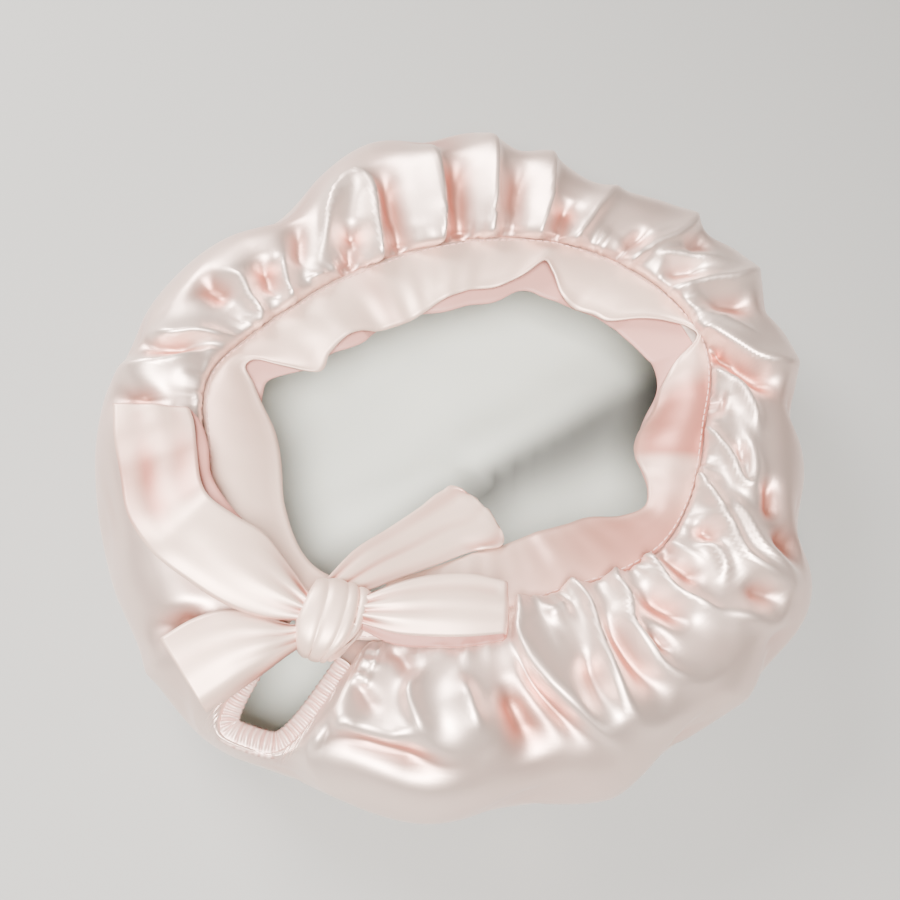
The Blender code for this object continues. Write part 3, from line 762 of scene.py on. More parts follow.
class GroupMaker:
    """Makes the shader node groups that several finishes share."""

    def __init__(self) -> None:
        """Start with no group made."""
        self.made: dict[str, bpy.types.NodeTree] = {}

    def start(self, name: str, inputs: dict[str, float], outputs: tuple[str, ...]) -> bpy.types.NodeTree:
        """Make an empty group.

        Args:
            name: The group's name.
            inputs: Number inputs and their first values.
            outputs: Number outputs.

        Returns:
            The group, with its input and output nodes, which also takes a vector.
        """
        tree = bpy.data.node_groups.new(name, "ShaderNodeTree")
        tree.interface.new_socket("Vector", in_out="INPUT", socket_type="NodeSocketVector")
        for key, value in inputs.items():
            socket = tree.interface.new_socket(key, in_out="INPUT", socket_type="NodeSocketFloat")
            socket.default_value = value
        for key in outputs:
            tree.interface.new_socket(key, in_out="OUTPUT", socket_type="NodeSocketFloat")
        tree.nodes.new("NodeGroupInput").name = "Start"
        tree.nodes.new("NodeGroupOutput").name = "End"
        return tree

    def weave(self) -> bpy.types.NodeTree:
        """Make the satin weave: long floats along the cloth, crossed by fine ribs.

        Returns:
            The group.
        """
        if "weave" not in self.made:
            tree = self.start("Satin weave", {"Scale": 900.0}, ("Height",))
            nodes, links = tree.nodes, tree.links
            floats = nodes.new("ShaderNodeTexWave")
            floats.bands_direction = "Y"
            floats.inputs["Distortion"].default_value = 0.6
            ribs = nodes.new("ShaderNodeTexNoise")
            ribs.inputs["Detail"].default_value = 1.0
            stretch = nodes.new("ShaderNodeVectorMath")
            stretch.operation = "MULTIPLY"
            stretch.inputs[1].default_value = (0.25, 2.0, 1.0)
            blend = nodes.new("ShaderNodeMath")
            blend.operation = "MULTIPLY_ADD"
            blend.inputs[1].default_value = 0.5
            start, end = nodes["Start"], nodes["End"]
            links.new(start.outputs["Vector"], floats.inputs["Vector"])
            links.new(start.outputs["Scale"], floats.inputs["Scale"])
            links.new(start.outputs["Vector"], stretch.inputs[0])
            links.new(stretch.outputs[0], ribs.inputs["Vector"])
            links.new(start.outputs["Scale"], ribs.inputs["Scale"])
            links.new(floats.outputs["Fac"], blend.inputs[0])
            links.new(ribs.outputs["Fac"], blend.inputs[2])
            links.new(blend.outputs[0], end.inputs["Height"])
            self.made["weave"] = tree
        return self.made["weave"]

    def crumple(self) -> bpy.types.NodeTree:
        """Make soft crumples: low, wide noise with a little fine noise on it.

        Returns:
            The group.
        """
        if "crumple" not in self.made:
            tree = self.start("Soft crumples", {"Scale": 60.0, "Detail": 2.0}, ("Height",))
            nodes, links = tree.nodes, tree.links
            noise = nodes.new("ShaderNodeTexNoise")
            noise.inputs["Roughness"].default_value = 0.45
            noise.inputs["Distortion"].default_value = 0.8
            start, end = nodes["Start"], nodes["End"]
            links.new(start.outputs["Vector"], noise.inputs["Vector"])
            links.new(start.outputs["Scale"], noise.inputs["Scale"])
            links.new(start.outputs["Detail"], noise.inputs["Detail"])
            links.new(noise.outputs["Fac"], end.inputs["Height"])
            self.made["crumple"] = tree
        return self.made["crumple"]


GROUPS = GroupMaker()


@dataclass(frozen=True)
class ClothFinish:
    """A woven silk finish: colour with soft random mottle and with painted shade in the hollows, weave and
    crumples.
    """

    name: str
    colour: tuple[float, float, float]
    painted_shade_and_mottle_colour: tuple[float, float, float]
    roughness: float
    gloss: float = 0.5
    less_rough: float = 0.04
    more_rough: float = 0.05
    sheen: float = 0.1
    sheen_roughness: float = 0.4
    lustre: float = 0.0
    glow: float = 0.0
    glow_radius: tuple[float, float, float] = (1.0, 0.7, 0.65)
    glow_scale: float = 0.003
    mottle: float = 0.3
    mottle_scale: float = 14.0
    weave_scale: float = 1400.0
    weave_depth: float = 0.00001
    crumple_scale: float = 45.0
    crumple_depth: float = 0.0003

    def build(self) -> bpy.types.Material:
        """Make the material.

        Returns:
            The material, with nodes of its own.
        """
        material = bpy.data.materials.new(self.name)
        material.use_nodes = True
        nodes, links = material.node_tree.nodes, material.node_tree.links
        shader = nodes["Principled BSDF"]
        shader.inputs["Specular IOR Level"].default_value = self.gloss
        shader.inputs["Metallic"].default_value = self.lustre
        shader.inputs["Subsurface Weight"].default_value = self.glow
        shader.inputs["Subsurface Radius"].default_value = self.glow_radius
        shader.inputs["Subsurface Scale"].default_value = self.glow_scale
        shader.inputs["Sheen Weight"].default_value = self.sheen
        shader.inputs["Sheen Roughness"].default_value = self.sheen_roughness
        where = nodes.new("ShaderNodeTexCoord")
        cloth = nodes.new("ShaderNodeUVMap")
        cloth.uv_map = "Cloth"
        # Painted shade: a point attribute set on each piece darkens the colour towards the darker second
        # colour in folds, dips and slopes; the mottle adds random tone the same way.
        painted_shade = nodes.new("ShaderNodeAttribute")
        painted_shade.attribute_name = "painted_shade"
        mottle = self.group(nodes, GROUPS.crumple(), {"Scale": self.mottle_scale, "Detail": 1.0})
        links.new(where.outputs["Object"], mottle.inputs["Vector"])
        depth = nodes.new("ShaderNodeMath")
        depth.operation = "MULTIPLY_ADD"
        depth.use_clamp = True
        depth.inputs[1].default_value = self.mottle
        links.new(mottle.outputs["Height"], depth.inputs[0])
        links.new(painted_shade.outputs["Fac"], depth.inputs[2])
        colour = nodes.new("ShaderNodeMix")
        colour.data_type = "RGBA"
        colour.inputs["A"].default_value = (*self.colour, 1.0)
        colour.inputs["B"].default_value = (*self.painted_shade_and_mottle_colour, 1.0)
        links.new(depth.outputs[0], colour.inputs["Factor"])
        links.new(colour.outputs["Result"], shader.inputs["Base Color"])
        crumple = self.group(nodes, GROUPS.crumple(), {"Scale": self.crumple_scale, "Detail": 2.0})
        links.new(where.outputs["Object"], crumple.inputs["Vector"])
        gloss = nodes.new("ShaderNodeMapRange")
        gloss.inputs["To Min"].default_value = self.roughness - self.less_rough
        gloss.inputs["To Max"].default_value = self.roughness + self.more_rough
        links.new(crumple.outputs["Height"], gloss.inputs["Value"])
        links.new(gloss.outputs["Result"], shader.inputs["Roughness"])
        weave = self.group(nodes, GROUPS.weave(), {"Scale": self.weave_scale})
        links.new(cloth.outputs["UV"], weave.inputs["Vector"])
        wide = self.bump(nodes, self.crumple_depth)
        fine = self.bump(nodes, self.weave_depth)
        links.new(crumple.outputs["Height"], wide.inputs["Height"])
        links.new(weave.outputs["Height"], fine.inputs["Height"])
        links.new(wide.outputs["Normal"], fine.inputs["Normal"])
        links.new(fine.outputs["Normal"], shader.inputs["Normal"])
        return material

    @staticmethod
    def group(nodes: bpy.types.Nodes, tree: bpy.types.NodeTree, values: dict[str, float]) -> bpy.types.Node:
        """Place a shared group with its own values.

        Args:
            nodes: The material's nodes.
            tree: The group.
            values: Its number inputs.

        Returns:
            The group's node.
        """
        node = nodes.new("ShaderNodeGroup")
        node.node_tree = tree
        for key, value in values.items():
            node.inputs[key].default_value = value
        return node

    @staticmethod
    def bump(nodes: bpy.types.Nodes, depth: float) -> bpy.types.Node:
        """Place a bump node.

        Args:
            nodes: The material's nodes.
            depth: Its depth.

        Returns:
            The node.
        """
        node = nodes.new("ShaderNodeBump")
        node.inputs["Strength"].default_value = 1.0
        node.inputs["Distance"].default_value = depth
        return node


# Each finish's second colour is the painted shade that darkens its hollows, and also the tone its random
# mottle drifts to.
SATIN = ClothFinish("Blush satin", (0.96, 0.78, 0.71), (0.60, 0.25, 0.19), 0.42, gloss=1.0,
                    lustre=0.78, glow=0.05)
# The reverse's nearly black second colour paints the shade on the floor inside the bag.
REVERSE = ClothFinish("Satin reverse", (0.82, 0.84, 0.78), (0.10, 0.10, 0.095), 0.62, gloss=0.3, glow=0.15,
                      crumple_scale=22.0, crumple_depth=0.0008)
RIBBON = ClothFinish("Pink ribbon", (0.97, 0.71, 0.60), (0.48, 0.17, 0.13), 0.43, gloss=0.8,
                     lustre=0.38, glow=0.08, crumple_scale=30.0, crumple_depth=0.0004)
# Dark terracotta for the ribbon's back and under layers: painted shade between and under the layers.
RIBBON_BACK_PAINTED_SHADE = ClothFinish("Ribbon back in painted shade", (0.62, 0.31, 0.27), (0.46, 0.19, 0.16), 0.50, gloss=0.4)
RUCHED = ClothFinish("Ruched satin", (0.94, 0.70, 0.63), (0.44, 0.17, 0.14), 0.40, gloss=0.8, lustre=0.3)
THREAD = ClothFinish("Sewing thread", (0.74, 0.46, 0.42), (0.70, 0.42, 0.38), 0.55, gloss=0.4)


def mark_painted_shade(piece: bpy.types.Object, values: np.ndarray, across: int) -> None:
    """Store the painted shade of each point of a sheet, for its finish.

    Args:
        piece: The sheet, before it gets its wall.
        values: 0 for no painted shade to 1 for the darkest, one for each point.
        across: Points in one line of the net.
    """
    layer = piece.data.attributes.new("painted_shade", "FLOAT", "POINT")
    flat = np.zeros(len(piece.data.vertices))
    flat[: values.size] = values.ravel()
    flat[values.size :] = values.reshape(-1, across)[:, -1].mean()
    layer.data.foreach_set("value", flat)


@dataclass(frozen=True)
class CrownFloor:
    """The cloth that lies on the surface, seen from inside the bag, with its diagonal folds and a painted
    shade beside the main one.
    """

    form: CrownForm
    wave: float = 0.0070
    turn: float = 38.0
    folds: tuple[FloorFold, ...] = (FloorFold(0.002, 0.13, 0.015, 1.0), FloorFold(-0.035, -0.2, 0.014, 0.5))
    flat_ease: Ease = Ease(0.7, 0.3)
    shade_offset: float = 0.0125
    shade_slope: float = 0.13
    shade_width: float = 0.006
    shade_widening: float = 0.07
    shade_widens_from: float = -0.010
    shade_widens_most: float = 0.1
    shade_ease: Ease = Ease(-0.025, 0.03)
    shade_far_side: float = 2.4
    shade_least: float = 0.04
    shade_gain: float = 0.82

    def line(self, plan: np.ndarray) -> tuple[np.ndarray, np.ndarray]:
        """Find how far points of the floor lie across and along its diagonal fold.

        Args:
            plan: The points in plan.

        Returns:
            The distances across and along.
        """
        turn = math.radians(self.turn)
        across = plan[:, 0] * math.sin(turn) - plan[:, 1] * math.cos(turn)
        along = plan[:, 0] * math.cos(turn) + plan[:, 1] * math.sin(turn)
        return across, along

    def shade(self, plan: np.ndarray) -> np.ndarray:
        """Find the painted shade on the floor beside its diagonal fold, wider on its far side.

        Args:
            plan: The points in plan.

        Returns:
            0 for no painted shade to 1 for the darkest.
        """
        across, along = self.line(plan)
        aside = across - self.shade_offset - self.shade_slope * along
        wide = np.clip(along - self.shade_widens_from, 0.0, self.shade_widens_most)
        width = self.shade_width + self.shade_widening * wide
        width = width * np.where(aside > 0.0, self.shade_far_side, 1.0)
        soft = np.exp(-((aside / width) ** 2))
        return self.shade_least + self.shade_gain * soft * self.shade_ease.at(along)

    def height(self, plan: np.ndarray) -> np.ndarray:
        """Find the height of the floor's soft folds.

        Args:
            plan: The points in plan.

        Returns:
            The heights over the surface.
        """
        reach = np.linalg.norm(plan, axis=1) / (self.form.radius - self.form.under_curve)
        across, along = self.line(plan)
        swell = np.zeros(len(plan))
        for fold in self.folds:
            aside = across - fold.offset - fold.slope * along
            swell += fold.share * np.exp(-((aside / fold.width) ** 2))
        return self.wave * swell * (1.0 - self.flat_ease.at(reach))


@dataclass
class Crown:
    """The gathered satin bag with its folds."""

    form: CrownForm
    steps: int = 680
    rows: tuple[int, int, int, int] = (24, 28, 7, 12)
    wall: float = 0.0006
    seam_allowance: float = 0.0040
    gather_pitch: float = 0.0030
    gather_depth: float = 0.0003
    gather_fade: float = 0.0070
    casing_reach: float = 0.0045
    gather_shares: tuple[float, ...] = (0.6, 0.8, 1.0, 1.3)
    gather_swell: float = 0.7
    gather_swell_pitch: float = 0.043
    pleat_drift: float = 1.5
    pleat_length: tuple[float, float] = (0.14, 0.34)
    pleat_width_mm: tuple[float, float] = (1.3, 1.9)
    pleat_rise_mm: tuple[float, float] = (0.3, 0.8)
    pleat_lean: tuple[float, float] = (1.3, 2.2)
    pleat_step: tuple[float, float] = (2.6, 5.4)
    near_turns: float = 2.0
    near_fade: float = 0.6
    near_strength: float = 0.3
    keyhole_calm: float = 0.6
    keyhole_density: float = 2.0
    keyhole_density_turns: float = 1.8
    ridge_gain: float = 1.85
    low_calm: float = 0.55
    low_spread: float = 1.1
    # Painted shade in the fold valleys fades lower down the side
    low_shade_fade: float = 0.75
    calm_ease: Ease = Ease(0.38, 0.34)
    spread_ease: Ease = Ease(0.30, 0.50)
    shade_fade_ease: Ease = Ease(0.45, 0.45)
    valley_gain: float = 1.7
    ridge_power: float = 1.35
    valley_power: float = 2.0
    route_points: int = 40
    fold_reach: float = 4.5
    fold_start: float = 0.0016
    fold_least: float = 0.10
    fold_end_share: float = 0.40
    fold_open_share: float = 0.35
    lean_gain: float = 0.9
    open_start: float = 0.09
    # Painted shade: how dark a point of the crown is at rest, and over what fall into a valley it darkens
    # fully
    painted_shade_level: float = 0.22
    painted_shade_rise_mm: float = 8.0
    allowance_drop: float = 0.0001
    shoulder: float = 0.0016
    shoulder_reach: float = 0.0080

    def angles(self) -> np.ndarray:
        """Space the net's lines evenly along the edge, but closer at the keyhole.

        Returns:
            Their angles.
        """
        form = self.form
        fine = np.linspace(0.0, 360.0, 14401)
        points = plan_point(form.edge_radius(fine), fine)
        lengths = np.linalg.norm(np.diff(points, axis=0), axis=1)
        middle = 0.5 * (fine[1:] + fine[:-1])
        reach = self.keyhole_density_turns * form.keyhole_half_turn()
        near = np.abs(turned_by(middle, form.keyhole_angle)) < reach
        total = np.concatenate(((0.0,), np.cumsum(lengths * np.where(near, self.keyhole_density, 1.0))))
        return np.interp(np.arange(self.steps) * total[-1] / self.steps, total, fine)

    def ways(self) -> list[float]:
        """List the shares of the way down the side at which the net has a row.

        Returns:
            The shares, from 0 at the edge to 1 at the floor.
        """
        form = self.form
        ends = (0.0, form.top_way, form.widest_way, 1.0)
        ways = [0.0]
        for first, last, count in zip(ends, ends[1:], self.rows):
            ways.extend(np.linspace(first, last, count + 1)[1:])
        return ways

    def pleats(self) -> list[Fold]:
        """Scatter the small pleats that the gathering thread leaves along the stitched edge.

        Returns:
            The pleats, as folds.
        """
        dice = np.random.default_rng(23)
        pleats = []
        angle = 0.0
        while angle < 360.0:
            if abs(turned_by(angle, self.form.keyhole_angle)) > 2.0 * self.form.keyhole_half_turn():
                drift = dice.uniform(-self.pleat_drift, self.pleat_drift)
                end = dice.uniform(*self.pleat_length)
                route = ((angle, 0.01), (angle + 0.4 * drift, 0.5 * end), (angle + drift, end))
                width = dice.uniform(*self.pleat_width_mm)
                rise = dice.uniform(*self.pleat_rise_mm)
                pleats.append(Fold(rise, width, dice.uniform(*self.pleat_lean) * width, route))
            angle += dice.uniform(*self.pleat_step)
        return pleats

    def folded(
        self, points: np.ndarray, normals: np.ndarray, ways: np.ndarray
    ) -> tuple[np.ndarray, np.ndarray]:
        """Push the smooth side out and in along the folds.

        Args:
            points: The smooth side.
            normals: Its outward directions.
            ways: Each point's share of the way down, by which the ridges grow low.

        Returns:
            How far each point moves, and the painted shade in its valleys.
        """
        move = np.zeros_like(points)
        height = np.zeros(len(points))
        down = ways / self.form.widest_way
        calm = 1.0 - self.low_calm * self.calm_ease.at(down)
        spread = 1.0 + self.low_spread * self.spread_ease.at(down)
        last = self.route_points - 1
        for fold in (*FOLDS, *PUCKERS, *SCALLOPS, *self.pleats()):
            marks = np.array([self.form.place(angle, row) for angle, row in fold.route])
            route = along_line(marks, self.route_points)
            reach = self.fold_reach * max(fold.before_mm, fold.after_mm) * MM
            low, high = route.min(axis=0) - reach, route.max(axis=0) + reach
            near = np.nonzero(((points > low) & (points < high)).all(axis=1))[0]
            if not len(near):
                continue
            beside = beside_route(points[near], normals[near], route)
            width = np.where(beside.side > 0.0, fold.after_mm, fold.before_mm) * MM * spread[near]
            aside = beside.distance / width
            sharp = self.ridge_power if fold.rise_mm > 0.0 else self.valley_power
            taper = smooth_step((1.0 - beside.share) / self.fold_end_share)
            if fold.route[0][1] > self.open_start:
                taper *= smooth_step(beside.share / self.fold_open_share)
            taper = self.fold_least + (1.0 - self.fold_least) * taper
            gain = self.ridge_gain if fold.rise_mm > 0.0 else self.valley_gain
            rise = gain * fold.rise_mm * MM * taper * np.exp(-(aside**sharp))
            if fold.rise_mm > 0.0:
                rise *= calm[near]
            height[near] += rise
            lean = (fold.before_mm - fold.after_mm) / (fold.before_mm + fold.after_mm)
            piece = (beside.share * last).astype(int)
            ahead = unit(route[np.minimum(piece + 1, last)] - route[np.minimum(piece, last - 1)])
            left = np.cross(normals[near], ahead)
            move[near] += (np.maximum(rise, 0.0) * lean * self.lean_gain)[:, None] * left
        move += height[:, None] * normals
        # Painted shade in the folds' valleys, fainter lower down the side
        shade_fade = 1.0 - self.low_shade_fade * self.shade_fade_ease.at(down)
        painted_shade = smooth_step(self.painted_shade_level - height / (self.painted_shade_rise_mm * MM)) * shade_fade
        return move, painted_shade

    def net(self) -> tuple[np.ndarray, np.ndarray]:
        """Shape the crown's outer skin.

        Returns:
            Its points, and the painted shade on each, in the fold valleys and on the floor.
        """
        form = self.form
        angles = self.angles()
        ways = self.ways()
        sides = [form.side(way, angles) for way in ways]
        points = np.stack([side[0] for side in sides], axis=1)
        normals = np.stack([side[1] for side in sides], axis=1)
        edge = points[:, 0]
        steps = np.linalg.norm(np.diff(points, axis=1), axis=2)
        depth = np.concatenate((np.zeros((len(angles), 1)), np.cumsum(steps, axis=1)), axis=1)
        move, painted_shade = self.folded(points.reshape(-1, 3), normals.reshape(-1, 3), np.tile(ways, len(angles)))
        move = move.reshape(points.shape)
        painted_shade = painted_shade.reshape(points.shape[:2])
        start = 1.0 - np.exp(-((depth / self.fold_start) ** 2))
        low = smooth_step(points[..., 2] / form.widest_height)
        calm = 1.0 - self.keyhole_calm * form.keyhole_share(angles)[:, None]
        move *= (start * low * calm)[..., None]
        around = np.concatenate(((0.0,), np.cumsum(np.linalg.norm(np.diff(edge, axis=0), axis=1))))
        dice = np.random.default_rng(11)
        waves = np.zeros(len(angles))
        for share in self.gather_shares:
            pitch = self.gather_pitch / share
            waves += np.sin(around * 2 * math.pi / pitch + dice.uniform(0.0, PHASE)) / 2.0
        strength = 1.0 + self.gather_swell * np.sin(around * 2 * math.pi / self.gather_swell_pitch + 1.0)
        near_turn = self.near_turns * form.keyhole_half_turn()
        near = np.exp(-((turned_by(angles, form.keyhole_angle) / near_turn) ** 4))
        fade = self.gather_fade * (1.0 + self.near_fade * near)[:, None]
        strength += self.near_strength * near
        covered = near[:, None] * np.exp(-((depth / self.casing_reach) ** 4))
        gather = self.gather_depth * (waves * strength)[:, None] * np.exp(-((depth / fade) ** 2))
        gather = gather * (1.0 - covered)
        move += (gather * (depth > 0.0))[..., None] * normals
        move[..., 2] += self.shoulder * start * np.exp(-((depth / self.shoulder_reach) ** 2))
        points = points + move
        tuck = edge.copy()
        tuck[:, :2] += self.seam_allowance * form.edge_inward(angles)
        tuck[:, 2] -= self.allowance_drop
        rows = [tuck[:, None], points]
        floor = CrownFloor(form)
        foot = points[:, -1, :2]
        count = self.rows[3]
        # Painted shade: first the fold valleys of the side, then the floor's painted shade
        shades = [painted_shade[:, :1], painted_shade]
        for step in range(count, 0, -1):
            inner = foot * step / (count + 1)
            rows.append(np.column_stack((inner, floor.height(inner)))[:, None])
            shades.append(floor.shade(inner)[:, None])
        return np.concatenate(rows, axis=1), np.concatenate(shades, axis=1)

    def build(self) -> tuple[bpy.types.Object, np.ndarray]:
        """Make the crown.

        Returns:
            The piece and the net of its outer skin.
        """
        net, painted_shade = self.net()
        piece = mesh_from_net("satin_crown", net, closed=True, filled=True)
        mark_painted_shade(piece, painted_shade, net.shape[1])
        thicken(piece, self.wall, [SATIN.build(), REVERSE.build()])
        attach(piece, "root")
        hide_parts("crown")
        return piece, net


@dataclass
class Band:
    """The ribbon band: a wavy top layer, its under layer and the topstitch."""

    form: CrownForm
    width: float = 0.025
    wall: float = 0.0007
    over_seam: float = 0.0009
    layer_gap: float = 0.0011
    edge_inset: float = 0.0004
    under_drop_mm: float = 2.0
    bulge: float = 0.0014
    bulge_end: float = 1.15
    rise_power: float = 1.6
    wrinkle: float = 0.0004
    wrinkle_counts: tuple[int, ...] = (9, 14, 23, 31, 47)
    wrinkle_slant: float = 3.0
    steps: int = 520
    columns: int = 14
    knot_clear: float = 6.5
    stitch_length: float = 0.0021
    stitch_pitch: float = 0.0027
    stitch_width: float = 0.00045
    stitch_inset: float = 0.0013
    stitch_lift: float = 0.0001

    def angles(self) -> np.ndarray:
        """Space the band's lines from one side of the knot round to the other.

        Returns:
            Their angles.
        """
        first = self.form.keyhole_angle + self.knot_clear
        return np.linspace(first, first + 360.0 - 2 * self.knot_clear, self.steps + 1)

    def layer(self, top: bool) -> np.ndarray:
        """The top face of one layer.

        Args:
            top: The top layer, or else the under one.

        Returns:
            Its net of points.
        """
        form = self.form
        angles = self.angles()
        outer = form.band_radius(angles) - self.edge_inset
        rim = form.seam(angles) + self.over_seam
        rise = ring_value(angles, HEMS, "rise_mm") * MM
        if top:
            free = outer - self.width * ring_value(angles, HEMS, "inset")
            turn = ring_value(angles, HEMS, "turn")
        else:
            free = outer - self.width * ring_value(angles, HEMS, "back")
            turn = np.zeros_like(angles)
            rise = np.minimum(rise, 0.0) - self.under_drop_mm * MM
            rim = rim - self.wall - self.layer_gap
        start = plan_point(outer, angles)
        end = plan_point(free, angles + turn)
        rows = []
        for column in range(self.columns, -1, -1):
            share = column / self.columns
            plan = start + (end - start) * share
            arch = self.bulge * math.sin(math.pi * min(1.0, share * self.bulge_end)) if top else 0.0
            height = rim + rise * share**self.rise_power + arch
            rows.append(np.column_stack((plan, height)))
        return np.stack(rows, axis=1)

    def stitches(self, top: np.ndarray) -> bpy.types.Object:
        """The topstitch along the band's outer edge, as one joined piece.

        Args:
            top: The top layer's net.

        Returns:
            The thread.
        """
        line = top[:, -1] + (top[:, -2] - top[:, -1]) * (self.stitch_inset / (self.width / self.columns))
        marks = np.concatenate(((0.0,), np.cumsum(np.linalg.norm(np.diff(line, axis=0), axis=1))))
        count = int(marks[-1] / self.stitch_pitch)
        bpy.ops.object.select_all(action="DESELECT")
        bpy.ops.mesh.primitive_uv_sphere_add(segments=8, ring_count=6, radius=0.5)
        stitch = bpy.context.object
        stitch.name = "topstitch_thread"
        stitch.data.name = "topstitch_thread"
        base = np.array([vertex.co for vertex in stitch.data.vertices])
        base *= self.stitch_width
        stretch = np.sign(base[:, 0]) * (self.stitch_length - self.stitch_width) / 2
        base[:, 0] += np.where(np.abs(base[:, 0]) > 1e-6, stretch, 0.0)
        # The sphere's faces can come in another order in each run, so they are put in a fixed one
        faces = []
        for polygon in stitch.data.polygons:
            corners = tuple(polygon.vertices)
            lowest = corners.index(min(corners))
            faces.append(corners[lowest:] + corners[:lowest])
        faces.sort()
        points = []
        joined = []
        for index in range(count):
            middle = (index + 0.5) * self.stitch_pitch
            here = np.array([np.interp(middle, marks, line[:, axis]) for axis in range(3)])
            ahead = np.array([np.interp(middle + 0.001, marks, line[:, axis]) for axis in range(3)])
            along = unit(ahead - here)
            side = unit(np.cross((0.0, 0.0, 1.0), along))
            up = np.cross(along, side)
            first = index * len(base)
            lift = base[:, 2:] + self.stitch_lift
            points.append(here + base[:, :1] * along + base[:, 1:2] * side + lift * up)
            joined.extend(tuple(first + corner for corner in face) for face in faces)
        mesh = bpy.data.meshes.new("topstitch_thread")
        mesh.from_pydata(np.vstack(points).tolist(), [], joined)
        mesh.uv_layers.new(name="Cloth")
        mesh.shade_smooth()
        stitch.data = mesh
        mesh.materials.append(THREAD.build())
        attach(stitch, "root")
        return stitch

    def wrinkled(self, net: np.ndarray) -> np.ndarray:
        """Give the top layer its soft wrinkles across the band.

        Args:
            net: The smooth layer.

        Returns:
            The same net, wrinkled.
        """
        angles = np.radians(self.angles())
        dice = np.random.default_rng(17)
        share = np.linspace(1.0, 0.0, self.columns + 1)
        wrinkles = np.zeros(net.shape[:2])
        first = float(self.wrinkle_counts[0])
        for count in self.wrinkle_counts:
            phase = dice.uniform(0.0, PHASE)
            slant = dice.uniform(-self.wrinkle_slant, self.wrinkle_slant)
            wrinkles += np.sin(angles[:, None] * count + phase + slant * share) * (first / count) ** 0.6
        net[..., 2] += self.wrinkle * wrinkles * smooth_step(share / 0.6) * 0.5
        return net

    def painted_shade(self) -> np.ndarray:
        """Find the painted shade on each point of the top layer: darker where it slopes into the bag.

        Returns:
            The shares, one for each point of the net.
        """
        shade = np.clip(ring_value(self.angles(), SHADES, "share"), 0.0, 1.0)
        share = np.linspace(1.0, 0.0, self.columns + 1)
        return shade[:, None] * (0.9 - 0.3 * share**6)

    def build(self) -> np.ndarray:
        """Make the band.

        Returns:
            The net of its top layer.
        """
        top = self.wrinkled(self.layer(top=True))
        under = self.layer(top=False)
        cover = mesh_from_net("ribbon_band", top)
        mark_painted_shade(cover, self.painted_shade(), top.shape[1])
        thicken(cover, self.wall, [RIBBON.build(), RIBBON_BACK_PAINTED_SHADE.build()])
        # The under layer is coloured wholly with the ribbon back's painted shade.
        backing = mesh_from_net("ribbon_band_under_layer", under)
        thicken(backing, self.wall, [RIBBON_BACK_PAINTED_SHADE.build()])
        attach(cover, "root")
        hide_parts("band")
        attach(backing, "root")
        thread = self.stitches(top)
        return top


@dataclass
class NapeElastic:
    """The finely ruched casing of the elastic round the keyhole."""

    form: CrownForm
    inner: float = 0.0050
    outer: float = 0.0032
    wall: float = 0.0004
    pitch: float = 0.0019
    depth: float = 0.0008
    steps: int = 420
    columns: int = 14
    start_share: float = 0.22
    lift: float = 0.0009
    roll_height: float = 0.0010
    edge_pull: float = 0.00015
    drift_bend: float = 5.0
    drift_gain: float = 0.8
    drift_phase: float = 3.0
    fade_rate: float = 1.1
    fade_start: float = 0.12
    painted_shade_gain: float = 0.5
    drift_marks: int = 30
    swing_marks: int = 45

    def net(self) -> tuple[np.ndarray, np.ndarray]:
        """Shape the casing's top face from one side of the knot to the other.

        Returns:
            Its points, and the painted shade in the ruche's valleys.
        """
        form = self.form
        reach = form.keyhole_half_turn() * (-math.log(self.start_share)) ** (1 / form.keyhole_squareness)
        fine = np.linspace(form.keyhole_angle - reach, form.keyhole_angle + reach, 2000)
        points = plan_point(form.edge_radius(fine), fine)
        lengths = np.concatenate(((0.0,), np.cumsum(np.linalg.norm(np.diff(points, axis=0), axis=1))))
        angles = np.interp(np.linspace(0.0, lengths[-1], self.steps + 1), lengths, fine)
        along = np.linspace(0.0, lengths[-1], self.steps + 1)
        edge = plan_point(form.edge_radius(angles), angles)
        inward = form.edge_inward(angles)
        dice = np.random.default_rng(5)
        drift_at = np.linspace(0.0, lengths[-1], self.drift_marks)
        drift = np.interp(along, drift_at, dice.uniform(-0.6, 0.6, self.drift_marks))
        swing_at = np.linspace(0.0, lengths[-1], self.swing_marks)
        swing = np.interp(along, swing_at, dice.uniform(0.5, 1.3, self.swing_marks))
        rows = []
        painted_shades = []
        for column in range(self.columns + 1):
            share = column / self.columns
            offset = self.inner - share * (self.inner + self.outer)
            shift = drift * math.sin(share * self.drift_bend) * self.drift_gain
            ruche = np.cos(2 * math.pi * along / self.pitch + shift * self.drift_phase) * swing
            fade = math.sin(math.pi * min(1.0, share * self.fade_rate + self.fade_start))
            pull = self.edge_pull * ruche * (1.0 - share) ** 2
            plan = edge + inward * (offset - pull)[:, None]
            roll = self.roll_height * math.sqrt(max(0.0, 1.0 - (2.0 * share - 1.0) ** 2))
            height = form.edge_height(angles) + self.lift + roll + self.depth * 0.5 * (1.0 + ruche) * fade
            rows.append(np.column_stack((plan, height)))
            # Painted shade in the ruche's valleys
            painted_shades.append(self.painted_shade_gain * swing * smooth_step(0.5 - 0.5 * ruche))
        return np.stack(rows, axis=1), np.stack(painted_shades, axis=1)

    def build(self) -> np.ndarray:
        """Make the casing.

        Returns:
            Its net.
        """
        net, painted_shade = self.net()
        piece = mesh_from_net("ruched_nape_casing", net)
        mark_painted_shade(piece, painted_shade, net.shape[1])
        thicken(piece, self.wall, [RUCHED.build()])
        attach(piece, "root")
        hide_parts("nape_elastic")
        return net


